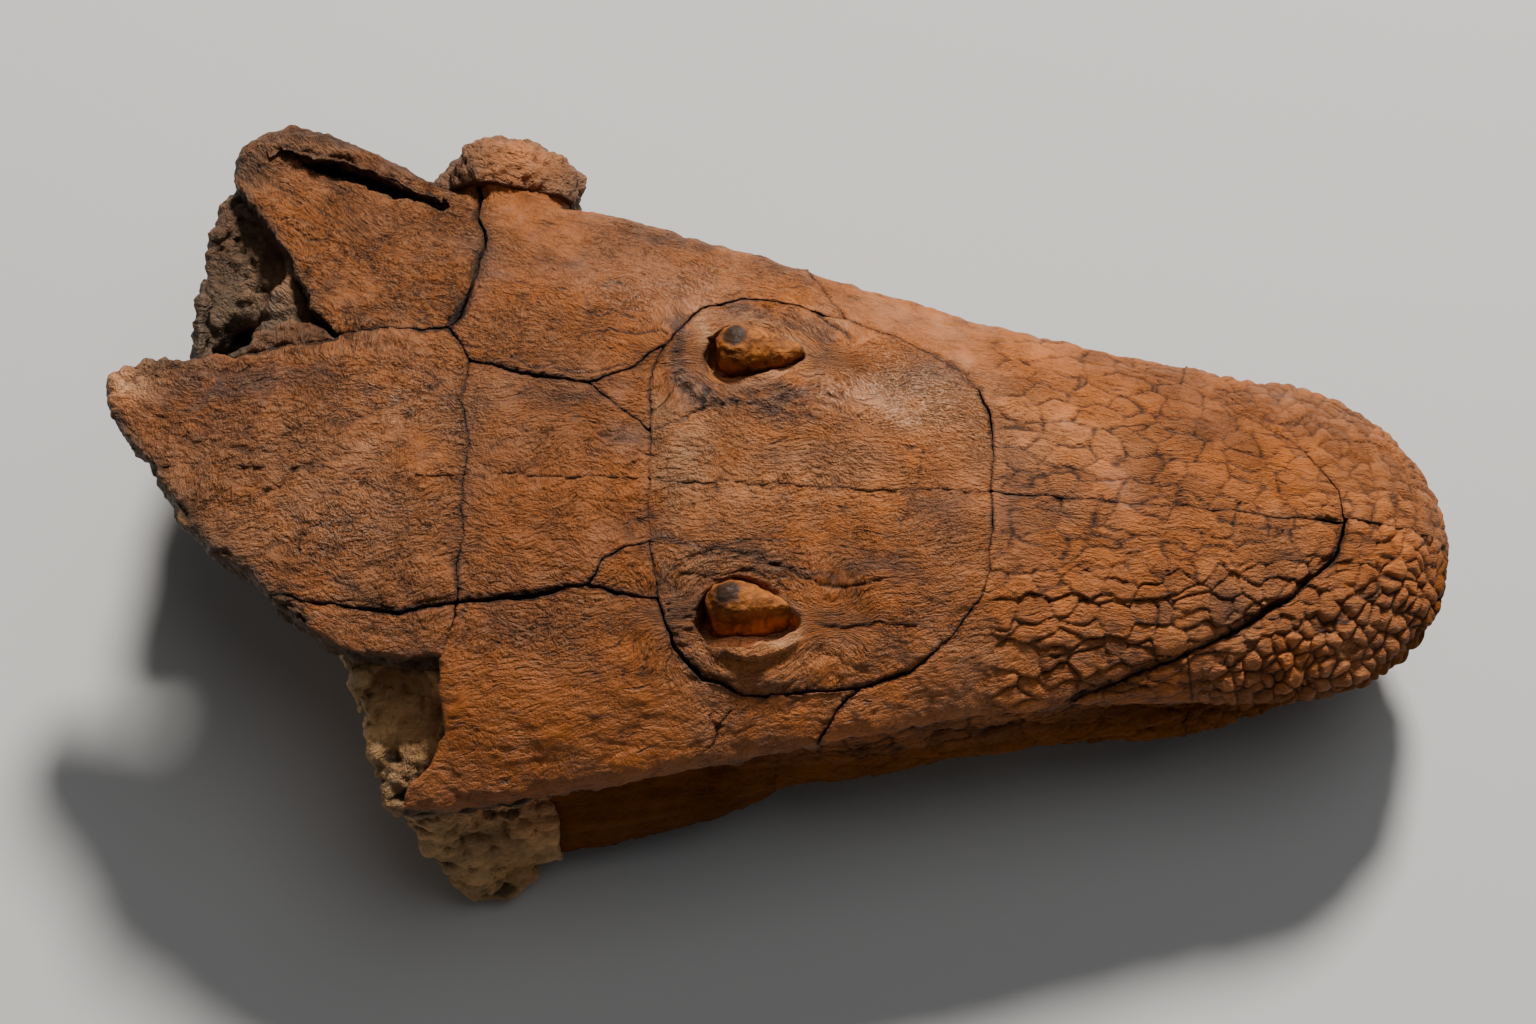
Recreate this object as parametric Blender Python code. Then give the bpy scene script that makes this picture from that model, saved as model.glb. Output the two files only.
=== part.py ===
# Fossil skull roof and snout, broken off behind, lying as it rests on its two quadrates and its palate.
# Lengths here are millimetres along the skull: x runs from the broken rear to the snout tip, y is the
# distance from the midline towards the skull's left side and z is the height above the floor.
# Every mesh is made in metres, moved so that the model's box stands centred on its origin.

import math
import random

import bmesh
import bpy
from mathutils import Vector, noise
from mathutils.bvhtree import BVHTree

MM = 0.001
SEAM = 0.3  # open width of every joint between two bones
MIDLINE_OFFSET = -6.6  # the left side reaches further from the midline than the right one
LENGTH_OFFSET = 0.16

# Driving sizes of the skull
TIP_X = 118.8
REAR_X = -119.0
TIP_START = 82.0  # from here forward the snout rounds off as an ellipse
TIP_HEIGHT = 28.0
TIP_FLAT = 0.12  # the last section stands this far short of the tip
SNOUT_HALF_WIDTH = 30.5
LEFT_CHEEK = 60.0  # half widths at the widest part of the cheeks, where the left is the fuller one
RIGHT_CHEEK = 55.5
CREST_HEIGHT = 61.5
ROOF_THICKNESS = 9.0
ROOF_EDGE_THICKNESS = 7.0
TOP_STEPS = 9
STATION_STEP = 5.4
TIP_STEPS = 8
FLOOR_PAD = (46.0, 76.0)  # stretch of the palate's keel that lies on the floor

LEFT_WIDTHS = [(-119, 72), (-100, 70.5), (-85, 68), (-70, 63.5), (-60, LEFT_CHEEK), (-35, 57),
               (-17, 52), (7, 44.5), (37, 36.5), (56, 33), (74, 31.2), (TIP_START, SNOUT_HALF_WIDTH)]
RIGHT_WIDTHS = [(-119, 58), (-60, RIGHT_CHEEK), (-51, 54.3), (-27, 49.5), (-11, 46.2), (3, 43.3),
                (20, 39.3), (37, 36), (56, 33), (74, 31.2), (TIP_START, SNOUT_HALF_WIDTH)]
CRESTS = [(-119, 57), (-90, 60), (-60, CREST_HEIGHT), (-20, CREST_HEIGHT), (10, 61), (40, 59.2), (70, 55.4),
          (TIP_START, 52)]
EDGES = [(-119, 45), (-60, 46.5), (-20, 47.5), (20, 47), (50, 44.8), (70, 40.8), (TIP_START, 36.8)]
MARGINS = [(-119, 16), (-70, 11), (-45, 6.5), (-20, 8), (-4, 12), (10, 18), (40, 20), (70, 17),
           (TIP_START, 14)]
KEELS = [(-119, 14), (-70, 11), (-40, 8), (0, 5), (30, 2), (FLOOR_PAD[0], 0), (FLOOR_PAD[1], 0),
         (TIP_START, 2)]

# The side wall below the roof's edge: how far down each row lies, as a share of the wall's height, and how
# far it stands in from the edge at the cheeks, at the jaws and at the snout
WALL_DROPS = [0.10, 0.17, 0.23, 0.29, 0.40, 0.60, 0.85, 1.0]
CHEEK_INSETS = [0.0, 0.8, 4.0, 5.2, 3.6, -1.6, -2.2, 2.0]
JAW_INSETS = [0.0, 0.8, 2.4, 2.0, -1.2, -2.6, -0.9, 4.0]
SNOUT_INSETS = [0.0, 0.5, 1.2, 2.0, 3.4, 6.0, 10.5, 15.0]
CHEEK_END, JAW_START, JAW_END, SNOUT_START = -20, 15, 70, 95
NOTCH_X, NOTCH_SPREAD, NOTCH_DEPTH, NOTCH_ROW = 2.0, 6.0, 2.6, 5  # between the cheek and the jaw, low down

# Swellings and hollows of the roof: x, y, spread along x, spread along y, height
SWELLINGS = [
    (-7, 25, 15, 12, 1.6), (-7, -25, 15, 12, 1.6), (24, 15, 12, 9, 1.5), (24, -16, 12, 9, 1.2),
    (-20, 0, 9, 22, -1.0), (-40, 8, 12, 9, 0.8), (-40, -9, 12, 9, 0.8), (-72, -8, 10, 13, 1.5),
    (-88, 8, 13, 8, 1.3), (-66, 12, 7, 8, -1.0), (-104, 10, 7, 8, -1.2), (-78, 46, 12, 9, -1.6),
    (-35, 38, 14, 9, 1.0), (-38, -40, 15, 9, 1.2), (70, 10, 14, 10, 0.8), (70, -10, 14, 10, 0.6),
    (8, 0, 14, 7, -0.7), (45, -24, 12, 6, 0.6),
]

# Seams of the roof, seen from above
MIDLINE = [(-126, 3), (-100, 2.2), (-84, 1.2), (-57, 0), (-24, 0), (8, -0.6), (35, -0.6), (72, -1.2),
           (101, -1)]
CROSS_SEAM = [(-56, 22), (-57, 14), (-55.5, 6), (-56, -2), (-55.5, -10), (-56.5, -16), (-56, -22.5)]
RING_LEFT = [(-24, 0), (-24, 9), (-24.5, 18), (-22, 26), (-16, 34), (-9, 37), (0, 36.5), (10, 33.5),
             (19, 30), (27, 25), (33, 19), (35.5, 12), (35.5, 6), (35, -0.6)]
RING_RIGHT = [(-24, 0), (-23.5, -11), (-22, -21), (-19, -29), (-14, -34), (-7, -36.5), (3, -35.5),
              (13, -34), (22, -31), (28, -26), (33, -20), (35, -14), (35.5, -7), (35, -0.6)]
FRONTAL_LEFT = [(-56, 22), (-49, 20), (-43, 19), (-35, 18)]
FRONTAL_RIGHT = [(-56, -22.5), (-47, -21.5), (-39, -20), (-34, -19)]
POSTFRONTAL_LEFT = [(-35, 18), (-31, 14.5), (-24, 9)]
POSTFRONTAL_LEFT_OUTER = [(-35, 18), (-28, 21), (-22, 26)]
POSTFRONTAL_RIGHT = [(-34, -19), (-31, -14), (-23.5, -11)]
POSTFRONTAL_RIGHT_OUTER = [(-34, -19), (-28, -20.5), (-22, -21)]
TEMPORAL_LEFT = [(-98, 23.5), (-88, 25.5), (-80, 27), (-70, 28.5), (-60, 29), (-56, 22)]
TEMPORAL_GROOVE = [(-60, 29), (-57.5, 36), (-56, 43), (-55, 49), (-57, 55), (-58, 82)]
TEMPORAL_RIGHT = [(-90, -21.5), (-78, -23), (-66, -24.5), (-56, -22.5)]
CHEEK_CORNER_RIGHT = [(-56, -22.5), (-58.5, -31.5), (-60, -34)]
RIM_SLOT = [(-90, 66.3), (-80, 63.7), (-70, 60), (-62, 56.4), (-63, 54.8), (-71, 57.5), (-81, 61),
            (-89, 63.5)]
RIM_SLOT_FLOOR = 43.5
FRAGMENT_SEAM = [(-87, 34.5), (-83.5, 31.5), (-79, 26)]
SPLIT_RIGHT = [(13, -34), (9, -38), (2, -50), (-2, -60)]
SPLIT_LEFT = [(10, 33.5), (7, 38), (1, 50), (-3, 58)]

# Edge of the roof bones over the lip at the front, then out over the side of the snout
LIP_RIGHT = [(97.5, -1), (96, -7), (88, -14.5), (77, -21.5), (65, -27), (54, -31.5), (44, -36), (34, -42),
             (24, -60), (14, -85)]
LIP_LEFT = [(97.5, -1), (96.5, 5), (89, 13.5), (77, 21), (65, 27), (54, 31.5), (44, 36), (34, 41),
            (24, 44.2), (7, 48.5), (-17, 55), (-35, 60), (-59, 62), (-66.5, 62.5), (-67.5, 85)]

# Broken rear of the roof, on both sides of the tongue that the parietals make
NOTCH_LEFT = [(-135, 19), (-119, 20), (-112, 22.5), (-98, 23), (-95.5, 25.5), (-94, 29), (-89, 31.5),
              (-84.5, 33), (-88, 40), (-94, 50), (-101, 60), (-101, 68), (-95, 85), (-135, 85)]
NOTCH_RIGHT = [(-135, 14), (-119, 14), (-116, 8), (-109, 0), (-105, -8), (-98, -14.5), (-93, -17),
               (-88, -22), (-79, -28.5), (-74, -31), (-59, -31), (-59, -37), (-58, -44), (-60.5, -49),
               (-65, -55), (-67, -85), (-135, -85)]

# Broken rear of the block under the roof
BREAK = [(-150, -85), (-67, -85), (-67, -58), (-71, -50), (-74, -38), (-77, -27), (-79, -10), (-80, 5),
         (-83, 18), (-90, 25), (-97, 29), (-104, 33), (-107, 40), (-107, 50), (-105, 58), (-101, 65),
         (-98, 85), (-150, 85)]
BREAK_LEAN = 12.0  # at the floor the broken face lies this much further forward than half way up

# Seams of the block under the roof
SNOUT_SEAM = [(74, -50), (70, -26), (66, -14), (66, 14), (70, 26), (74, 50)]
SNOUT_MIDLINE = [(66, 0), (90, -0.6), (135, 0)]
PALATE_SIDE = [(66, 14), (50, 19), (25, 24), (2, 28), (-22, 33), (-48, 37), (-62, 34), (-74, 31),
               (-140, 20)]
CHEEK_SEAM = [(2, 28), (-1, 42), (-5, 75)]
PALATE_REAR = [(-22, -33), (-24, 0), (-22, 33)]
JUGAL_SEAM = [(-48, 37), (-40, 50), (-38, 95)]
OTIC_SEAM = [(-74, 31), (-71, 45), (-67, 58), (-67, 95)]

# Sockets and the pegs in them
SOCKET_X = -6.3
SOCKET_Y = 24.4
SOCKET_LENGTH = 18.0
SOCKET_WIDTH = 13.4
SOCKET_DEPTH = 8.4
PEG_BULB_RADIUS = 4.1
PEG_RISE = 1.4
PEG_LEAN = 0.6  # both pegs stand this far to the left of their sockets' middles

# Seeds: a point of each bone's upper face
ROOF_BONES = {
    "parietal_left": (-75, 12), "parietal_right": (-72, -10), "frontal_left": (-42, 9),
    "frontal_right": (-42, -9), "postfrontal_left": (-27, 16), "postfrontal_right": (-28, -17),
    "prefrontal_left": (18, 12), "prefrontal_right": (18, -12), "nasal_left": (60, 10),
    "nasal_right": (60, -10), "postorbital_left": (-40, 40), "postorbital_right": (-40, -40),
    "squamosal_left": (-75, 45), "supratemporal_right": (-66, -28), "loose_fragment_left": (-88, 28.5),
}
BLOCK_BONES = {
    "premaxilla_left": (108, 8), "premaxilla_right": (108, -8), "maxilla_left": (35, 32),
    "maxilla_right": (35, -31), "palate": (20, 0), "braincase": (-60, 0), "jugal_left": (-25, 45),
    "jugal_right": (-25, -45), "quadrate_left": (-55, 50), "quadrate_right": (-62, -50),
    "otic_block_left": (-80, 50),
}


# Curves and shapes of the skull

def along(x, knots):
    """A smooth value between knots (x, value), level in slope at their mean rise."""
    xs = [k[0] for k in knots]
    vs = [k[1] for k in knots]
    if x <= xs[0]:
        return vs[0]
    if x >= xs[-1]:
        return vs[-1]
    pairs = [(max(i - 1, 0), min(i + 1, len(xs) - 1)) for i in range(len(xs))]
    slopes = [(vs[b] - vs[a]) / (xs[b] - xs[a]) for a, b in pairs]
    i = max(j for j in range(len(xs) - 1) if xs[j] <= x)
    span = xs[i + 1] - xs[i]
    t = (x - xs[i]) / span
    rise = vs[i] * (2 * t**3 - 3 * t**2 + 1) + vs[i + 1] * (3 * t**2 - 2 * t**3)
    return rise + span * (slopes[i] * (t**3 - 2 * t**2 + t) + slopes[i + 1] * (t**3 - t**2))


def tip_share(x):
    """1 behind the snout's rounded tip, falling as an ellipse to 0 at the tip itself."""
    t = min(max((x - TIP_START) / (TIP_X - TIP_START), 0), 1)
    return math.sqrt(1 - t * t)


def to_tip(x, knots):
    """A height that closes on the tip's own height where the snout rounds off."""
    return TIP_HEIGHT + (along(x, knots) - TIP_HEIGHT) * tip_share(x)


def half_width(x, side):
    return along(x, LEFT_WIDTHS if side > 0 else RIGHT_WIDTHS) * tip_share(x)


def swelling(x, y):
    """Height of the roof's swellings at a point, with a slow natural unevenness."""
    height = sum(h * math.exp(-(((x - cx) / sx) ** 2) - ((y - cy) / sy) ** 2)
                 for cx, cy, sx, sy, h in SWELLINGS)
    return height + 0.7 * noise.noise(Vector((x / 17, y / 13, 3.7)))


def side_share(x, y):
    """0 on the midline and 1 at the roof's side edge and beyond."""
    return min(abs(y) / max(half_width(x, y), 1), 1)


def arch(x, share):
    """The roof's plain arch, from the crest down to its side edges."""
    return to_tip(x, CRESTS) - (to_tip(x, CRESTS) - to_tip(x, EDGES)) * share**2.3


def wall_inset(x, row):
    """How far a row of the side wall stands in from the roof's edge."""
    to_jaw = min(max((x - CHEEK_END) / (JAW_START - CHEEK_END), 0), 1)
    to_snout = min(max((x - JAW_END) / (SNOUT_START - JAW_END), 0), 1)
    notch = NOTCH_DEPTH * math.exp(-(((x - NOTCH_X) / NOTCH_SPREAD) ** 2)) if row >= NOTCH_ROW else 0
    inset = CHEEK_INSETS[row] + (JAW_INSETS[row] - CHEEK_INSETS[row]) * to_jaw + notch
    return inset + (SNOUT_INSETS[row] - JAW_INSETS[row]) * to_snout


def roof_height(x, y):
    """Height of the roof's upper face, which arches from the crest down to its side edges."""
    share = side_share(x, y)
    return arch(x, share) + swelling(x, y) * tip_share(x) * (1 - share**4)


def half_section(x, side):
    """Points (y, z) of one cross-section from the crest out over one side and in under the palate."""
    width = half_width(x, side)
    edge, margin, keel = to_tip(x, EDGES), to_tip(x, MARGINS), max(to_tip(x, KEELS), 0)
    fade = tip_share(x)
    flare = max(width - LEFT_CHEEK, 0)
    rise = 4.5 * fade
    out = [width * math.sin(math.pi / 2 * k / TOP_STEPS) for k in range(TOP_STEPS + 1)]
    points = [(side * y, roof_height(x, side * y)) for y in out]
    for row, drop in enumerate(WALL_DROPS):
        inset = wall_inset(x, row) * fade + flare * min(drop / 0.3, 1)
        points.append((side * (width - inset), edge - drop * (edge - margin)))
    base = min(width, LEFT_CHEEK) - wall_inset(x, len(WALL_DROPS) - 1) * fade
    under = [(0.84, margin + 0.6 * rise), (0.60, margin + rise), (0.40, 0.5 * (margin + rise + keel)),
             (0.29, keel + 0.8 * fade), (0.22, keel), (0.0, keel)]
    return points + [(side * share * base, z) for share, z in under]


def block_section(x):
    """A closed cross-section, left side first."""
    return half_section(x, 1) + half_section(x, -1)[-2:0:-1]


def roof_underside(x, y):
    """Height of the parting between the roof bones and the block under them."""
    share = side_share(x, y)
    return arch(x, share) - ROOF_THICKNESS + (ROOF_THICKNESS - ROOF_EDGE_THICKNESS) * share**2


# Mesh helpers

def place(x, y, z):
    return Vector(((x + LENGTH_OFFSET) * MM, (y + MIDLINE_OFFSET) * MM, z * MM))


def make_object(name, bm, helper=False):
    bmesh.ops.recalc_face_normals(bm, faces=bm.faces[:])
    mesh = bpy.data.meshes.new(name)
    bm.to_mesh(mesh)
    bm.free()
    obj = bpy.data.objects.new(name, mesh)
    bpy.context.scene.collection.objects.link(obj)
    if helper:
        obj.hide_render = True
        obj.display_type = "WIRE"
    return obj


def loft(rings):
    """Rings of points joined one after another, with both ends closed."""
    bm = bmesh.new()
    made = []
    for ring in rings:
        verts = [bm.verts.new(place(*p)) for p in ring]
        edges = [bm.edges.new((verts[i], verts[(i + 1) % len(verts)])) for i in range(len(verts))]
        made.append(edges)
    for first, second in zip(made, made[1:]):
        bmesh.ops.bridge_loops(bm, edges=first + second)
    bmesh.ops.contextual_create(bm, geom=made[0])
    bmesh.ops.contextual_create(bm, geom=made[-1])
    return bm


def prism(outline, low, high, lean=0.0):
    """A plan outline raised from one height to another, leaning back by a length if it leans."""
    bm = bmesh.new()
    face = bm.faces.new([bm.verts.new(place(x, y, low)) for x, y in outline])
    raised = bmesh.ops.extrude_face_region(bm, geom=[face])["geom"]
    bmesh.ops.translate(bm, verts=[v for v in raised if isinstance(v, bmesh.types.BMVert)],
                        vec=(-lean * MM, 0, (high - low) * MM))
    bmesh.ops.triangulate(bm, faces=[f for f in bm.faces if len(f.verts) > 4])
    return bm


def mirrored(line):
    return [(x, -y) for x, y in line]


def ragged(line, rng, step=4.6, depth=0.4):
    """The line with points added every few millimetres, each moved a little aside."""
    out = [line[0]]
    for (ax, ay), (bx, by) in zip(line, line[1:]):
        length = math.hypot(bx - ax, by - ay)
        count = max(1, round(length / step)) if length < 40 else 1
        for i in range(1, count + 1):
            t = i / count
            aside = rng.uniform(-depth, depth) if i < count else 0
            out.append((ax + (bx - ax) * t - (by - ay) / length * aside,
                        ay + (by - ay) * t + (bx - ax) / length * aside))
    return out


def normals_of(line, closed):
    found = []
    n = len(line)
    for i in range(n):
        a = line[(i - 1) % n] if closed or i else line[0]
        b = line[(i + 1) % n] if closed or i < n - 1 else line[-1]
        here = line[i]
        before = Vector((here[0] - a[0], here[1] - a[1]))
        after = Vector((b[0] - here[0], b[1] - here[1]))
        before = before.normalized() if before.length else after.normalized()
        after = after.normalized() if after.length else before
        across = (Vector((-before.y, before.x)) + Vector((-after.y, after.x))).normalized()
        stretch = 1 / max(across.dot(Vector((-after.y, after.x))), 0.5)
        found.append(across * stretch)
    return found


def grown(outline, by):
    """A closed plan outline moved outwards."""
    area = sum(a[0] * b[1] - b[0] * a[1] for a, b in zip(outline, outline[1:] + outline[:1]))
    out = -by if area > 0 else by
    sides = normals_of(outline, True)
    return [(p[0] + out * n.x, p[1] + out * n.y) for p, n in zip(outline, sides)]


def curtain(line, low=-6.0, high=90.0):
    """A thin upright wall along a plan line, which parts two bones by the width of a seam."""
    sides = normals_of(line, False)
    left = [(p[0] + n.x * SEAM / 2, p[1] + n.y * SEAM / 2) for p, n in zip(line, sides)]
    right = [(p[0] - n.x * SEAM / 2, p[1] - n.y * SEAM / 2) for p, n in zip(line, sides)]
    return prism(left + right[::-1], low, high)


def blob(centre, radii, roughness, detail=3, offset=0.0):
    """A rough rounded lump."""
    bm = bmesh.new()
    bmesh.ops.create_icosphere(bm, subdivisions=detail, radius=1.0)
    for v in bm.verts:
        lift = 1 + roughness * noise.noise(v.co * 1.6 + Vector((offset, 0, 0)))
        v.co = place(*(c + r * p * lift for c, r, p in zip(centre, radii, v.co)))
    return bm


def combined(name, target, tools, operation):
    """The target joined with, cut by or kept inside the tools, as a new object."""
    group = bpy.data.collections.new(name + "_tools")
    for tool in tools:
        group.objects.link(tool)
    change = target.modifiers.new(operation, "BOOLEAN")
    change.operation = operation
    change.operand_type = "COLLECTION"
    change.collection = group
    change.solver = "EXACT"
    graph = bpy.context.evaluated_depsgraph_get()
    bm = bmesh.new()
    bm.from_mesh(target.evaluated_get(graph).to_mesh())
    target.evaluated_get(graph).to_mesh_clear()
    mesh = bpy.data.meshes.new(name)
    bm.to_mesh(mesh)
    bm.free()
    made = bpy.data.objects.new(name, mesh)
    bpy.context.scene.collection.objects.link(made)
    for used in [target, *tools]:
        bpy.data.objects.remove(used)
    bpy.data.collections.remove(group)
    return made


def copied(obj, name):
    made = bpy.data.objects.new(name, obj.data.copy())
    bpy.context.scene.collection.objects.link(made)
    return made


def islands_of(bm):
    """The number of the closed surface that each face belongs to."""
    bm.faces.index_update()
    number = [-1] * len(bm.faces)
    count = 0
    for start in bm.faces:
        if number[start.index] >= 0:
            continue
        stack = [start]
        number[start.index] = count
        while stack:
            face = stack.pop()
            for edge in face.edges:
                for other in edge.link_faces:
                    if number[other.index] < 0:
                        number[other.index] = count
                        stack.append(other)
        count += 1
    return number


def part_into_bones(whole, seeds, from_below=False):
    """Splits a mesh that thin cuts have parted, and names each piece by the seed that lies on it."""
    bm = bmesh.new()
    bm.from_mesh(whole.data)
    bm.faces.ensure_lookup_table()
    number = islands_of(bm)
    tree = BVHTree.FromBMesh(bm)
    start, way = (-20.0, 1) if from_below else (120.0, -1)
    for name, (x, y) in seeds.items():
        hit = tree.ray_cast(place(x, y, start), Vector((0, 0, way)))
        chosen = number[hit[2]]
        piece = bm.copy()
        piece.faces.ensure_lookup_table()
        bmesh.ops.delete(piece, geom=[f for f in piece.faces if number[f.index] != chosen], context="FACES")
        bmesh.ops.dissolve_degenerate(piece, dist=1e-6, edges=piece.edges[:])
        bmesh.ops.triangulate(piece, faces=piece.faces[:])
        make_object(name, piece)
    bm.free()
    bpy.data.objects.remove(whole)


# Skull block: the rim's steps are x, y, z, half width and half height, and the quadrate's are x, distance
# from the midline, z, half length and half width, from the cheek down to the foot

RIM_STEPS = [(-102.5, 61.5, 43.5, 3.3, 4), (-98.5, 66, 44, 4.4, 6.2), (-91, 68, 44.6, 4.9, 7),
             (-82, 65.6, 44.8, 4.8, 6.8), (-73, 62.3, 44.6, 4.4, 6), (-65, 58.8, 44.5, 3.8, 5),
             (-59, 55.8, 44, 2.6, 3.4)]
QUADRATE_STEPS = [(-60, 42, 40, 9, 8), (-60.5, 46, 30, 10, 9), (-58.5, 50, 19, 9.5, 8.5),
                  (-55.5, 52.5, 10, 9.5, 7.6), (-54, 53.6, 4, 9, 6.6), (-53.5, 54, 0, 6.5, 4.6)]
QUADRATE_SIDES = 14
KNOB = ((-52.5, 63, 39), (12.5, 10, 8.5), 0.35)  # middle, radii and roughness of the left cheek's knob


def stations():
    body, tip = TIP_START - REAR_X, TIP_X - TIP_START
    count = round(body / STATION_STEP)
    back = [REAR_X + body * i / count for i in range(count)]
    front = [TIP_START + tip * math.sin(math.pi / 2 * i / TIP_STEPS) for i in range(TIP_STEPS)]
    return back + front + [TIP_X - TIP_FLAT]


def skull_block():
    """The whole skull in one closed mesh: roof, sides, palate, both quadrates and the flared squamosal."""
    block = make_object("block", loft([[(x, y, z) for y, z in block_section(x)] for x in stations()]))
    knob = make_object("knob_lump", blob(*KNOB, offset=4.0))
    lumps = [squamosal_rim(), quadrate("quadrate_lump_right", -1), quadrate("quadrate_lump_left", 1), knob]
    return combined("skull", block, lumps, "UNION")


def squamosal_rim():
    """The raised outer rim behind the left cheek."""
    return make_object("rim", loft([tilted_ring(*step) for step in RIM_STEPS]))


def tilted_ring(x, y, z, wide, high, count=12):
    turn = [2 * math.pi * i / count for i in range(count)]
    return [(x - 0.25 * wide * math.cos(a), y + wide * math.cos(a), z + high * math.sin(a)) for a in turn]


def quadrate(name, side):
    """The stout column under a cheek, down to its foot on the floor."""
    rings = []
    for x, y, z, long, wide in QUADRATE_STEPS:
        ring = []
        for i in range(QUADRATE_SIDES):
            c, s = math.cos(2 * math.pi * i / QUADRATE_SIDES), math.sin(2 * math.pi * i / QUADRATE_SIDES)
            lumpy = 1 + 0.16 * noise.noise(Vector((c * 1.4, s * 1.4, z / 9 + 5 * side)))
            ring.append((x + long * c * lumpy, side * y + wide * s * lumpy, z))
        rings.append(ring)
    return make_object(name, loft(rings))


# Roof tool

def lip_outline():
    """Plan outline of the roof bones: the lip of the snout in front, past the skull's sides behind."""
    return LIP_RIGHT + [(-140, -88), (-140, 88)] + LIP_LEFT[:0:-1]


def roof_tool(name, gap):
    """A solid that holds the roof bones only. With a gap it is larger by that much all round."""
    bm = bmesh.new()
    bmesh.ops.create_grid(bm, x_segments=24, y_segments=16, size=0.5)
    for v in bm.verts:
        x, y = -15 + v.co.x * 262, v.co.y * 184
        v.co = place(x, y, roof_underside(x, y) - gap)
    raised = bmesh.ops.extrude_face_region(bm, geom=bm.faces[:])["geom"]
    for v in [g for g in raised if isinstance(g, bmesh.types.BMVert)]:
        v.co.z = 92 * MM
    slab = make_object(name + "_slab", bm, helper=True)
    walls = make_object(name + "_walls", prism(grown(lip_outline(), gap) if gap else lip_outline(), -8, 88),
                        helper=True)
    return combined(name, slab, [walls], "INTERSECT")


# Sockets and pegs

def drop_outline(x, y, length, width, count=18):
    """A drop seen from above: round behind, drawn to a point in front."""
    out = []
    for i in range(count):
        c, s = math.cos(2 * math.pi * i / count), math.sin(2 * math.pi * i / count)
        pinch = max(0.5 + 0.5 * c, 0) ** 0.35
        out.append((x - length / 2 * c, y + width / 2 * s * pinch))
    return out


def socket(name, side):
    """The well in which a peg stands, wider at its mouth than at its floor."""
    mouth = roof_height(SOCKET_X, side * SOCKET_Y)
    levels = [(mouth + 6, 1.14), (mouth - 1.5, 1.0), (mouth - SOCKET_DEPTH, 0.94)]
    rings = []
    for z, k in levels:
        outline = drop_outline(SOCKET_X, side * SOCKET_Y, SOCKET_LENGTH * k, SOCKET_WIDTH * k)
        rings.append([(x, y, z) for x, y in outline])
    return make_object(name, loft(rings), helper=True)


def peg(name, side):
    """A blunt horn that leans back out of its socket, thick and round at the rear end."""
    mouth = roof_height(SOCKET_X, side * SOCKET_Y)
    floor = mouth - SOCKET_DEPTH + SEAM
    steps = [(-12.9, 1.2, -2.2), (-12.3, 2.9, -0.9), (-10.9, 3.8, 0), (-8.6, PEG_BULB_RADIUS, 0.1),
             (-5.6, 3.5, -0.7), (-2.6, 2.3, -1.9), (-0.3, 1.1, -3.2), (0.6, 0.6, -4.2)]
    rings = []
    for x, radius, drop in steps:
        top = mouth + PEG_RISE + drop
        y = side * SOCKET_Y + PEG_LEAN * min(radius / PEG_BULB_RADIUS, 1)
        arc = [math.pi * i / 8 for i in range(9)]
        ring = [(x, y + radius * math.cos(a), top - radius + radius * math.sin(a)) for a in arc]
        ring += [(x, y - radius * 0.8, floor), (x, y + radius * 0.8, floor)]
        rings.append(ring)
    return make_object(name, loft(rings))


# Cutting it into bones, with hollows in the broken face: middle, radii and roughness

HOLLOW_RIGHT = ((-66, -38, 46), (8, 8.5, 6.5), 0.3)
HOLLOW_LEFT = ((-98, 44, 45), (8.5, 12, 7), 0.3)


def curtains(prefix, lines, rng):
    return [make_object(f"{prefix}_{i}", curtain(ragged(line, rng)), helper=True)
            for i, line in enumerate(lines)]


def cut_roof(skull, rng):
    roof = combined("roof", copied(skull, "roof_whole"), [roof_tool("roof_tool", 0.0)], "INTERSECT")
    seams = [MIDLINE, CROSS_SEAM, RING_LEFT, RING_RIGHT, FRONTAL_LEFT, FRONTAL_RIGHT, POSTFRONTAL_LEFT,
             POSTFRONTAL_LEFT_OUTER, POSTFRONTAL_RIGHT, POSTFRONTAL_RIGHT_OUTER, TEMPORAL_LEFT,
             TEMPORAL_GROOVE, TEMPORAL_RIGHT, CHEEK_CORNER_RIGHT, FRAGMENT_SEAM, SPLIT_RIGHT, SPLIT_LEFT]
    tools = curtains("roof_seam", seams, rng)
    for name, outline in [("notch_left", NOTCH_LEFT), ("notch_right", NOTCH_RIGHT)]:
        rough = ragged(outline + outline[:1], rng, depth=0.8)[:-1]
        tools.append(make_object(name, prism(rough, -8, 96), helper=True))
    tools.append(make_object("rim_slot", prism(RIM_SLOT, RIM_SLOT_FLOOR, 96), helper=True))
    tools += [socket("socket_cut_left", 1), socket("socket_cut_right", -1)]
    part_into_bones(combined("roof_parted", roof, tools, "DIFFERENCE"), ROOF_BONES)


def cut_block(skull, rng):
    seams = [SNOUT_SEAM, SNOUT_MIDLINE, PALATE_REAR]
    for line in (PALATE_SIDE, CHEEK_SEAM, JUGAL_SEAM):
        seams += [line, mirrored(line)]
    seams.append(OTIC_SEAM)
    tools = [roof_tool("block_tool", SEAM), *curtains("block_seam", seams, rng)]
    broken = ragged(BREAK + BREAK[:1], rng, depth=1.0)[:-1]
    leaning = [(x + BREAK_LEAN, y) for x, y in broken]
    tools.append(make_object("break_cut", prism(leaning, 0, 96, BREAK_LEAN * 2), helper=True))
    tools.append(make_object("hollow_right", blob(*HOLLOW_RIGHT, detail=2, offset=1.0), helper=True))
    tools.append(make_object("hollow_left", blob(*HOLLOW_LEFT, detail=2, offset=7.0), helper=True))
    tools += [socket("well_cut_left", 1), socket("well_cut_right", -1)]
    part_into_bones(combined("block_parted", skull, tools, "DIFFERENCE"), BLOCK_BONES)


# Materials

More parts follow.
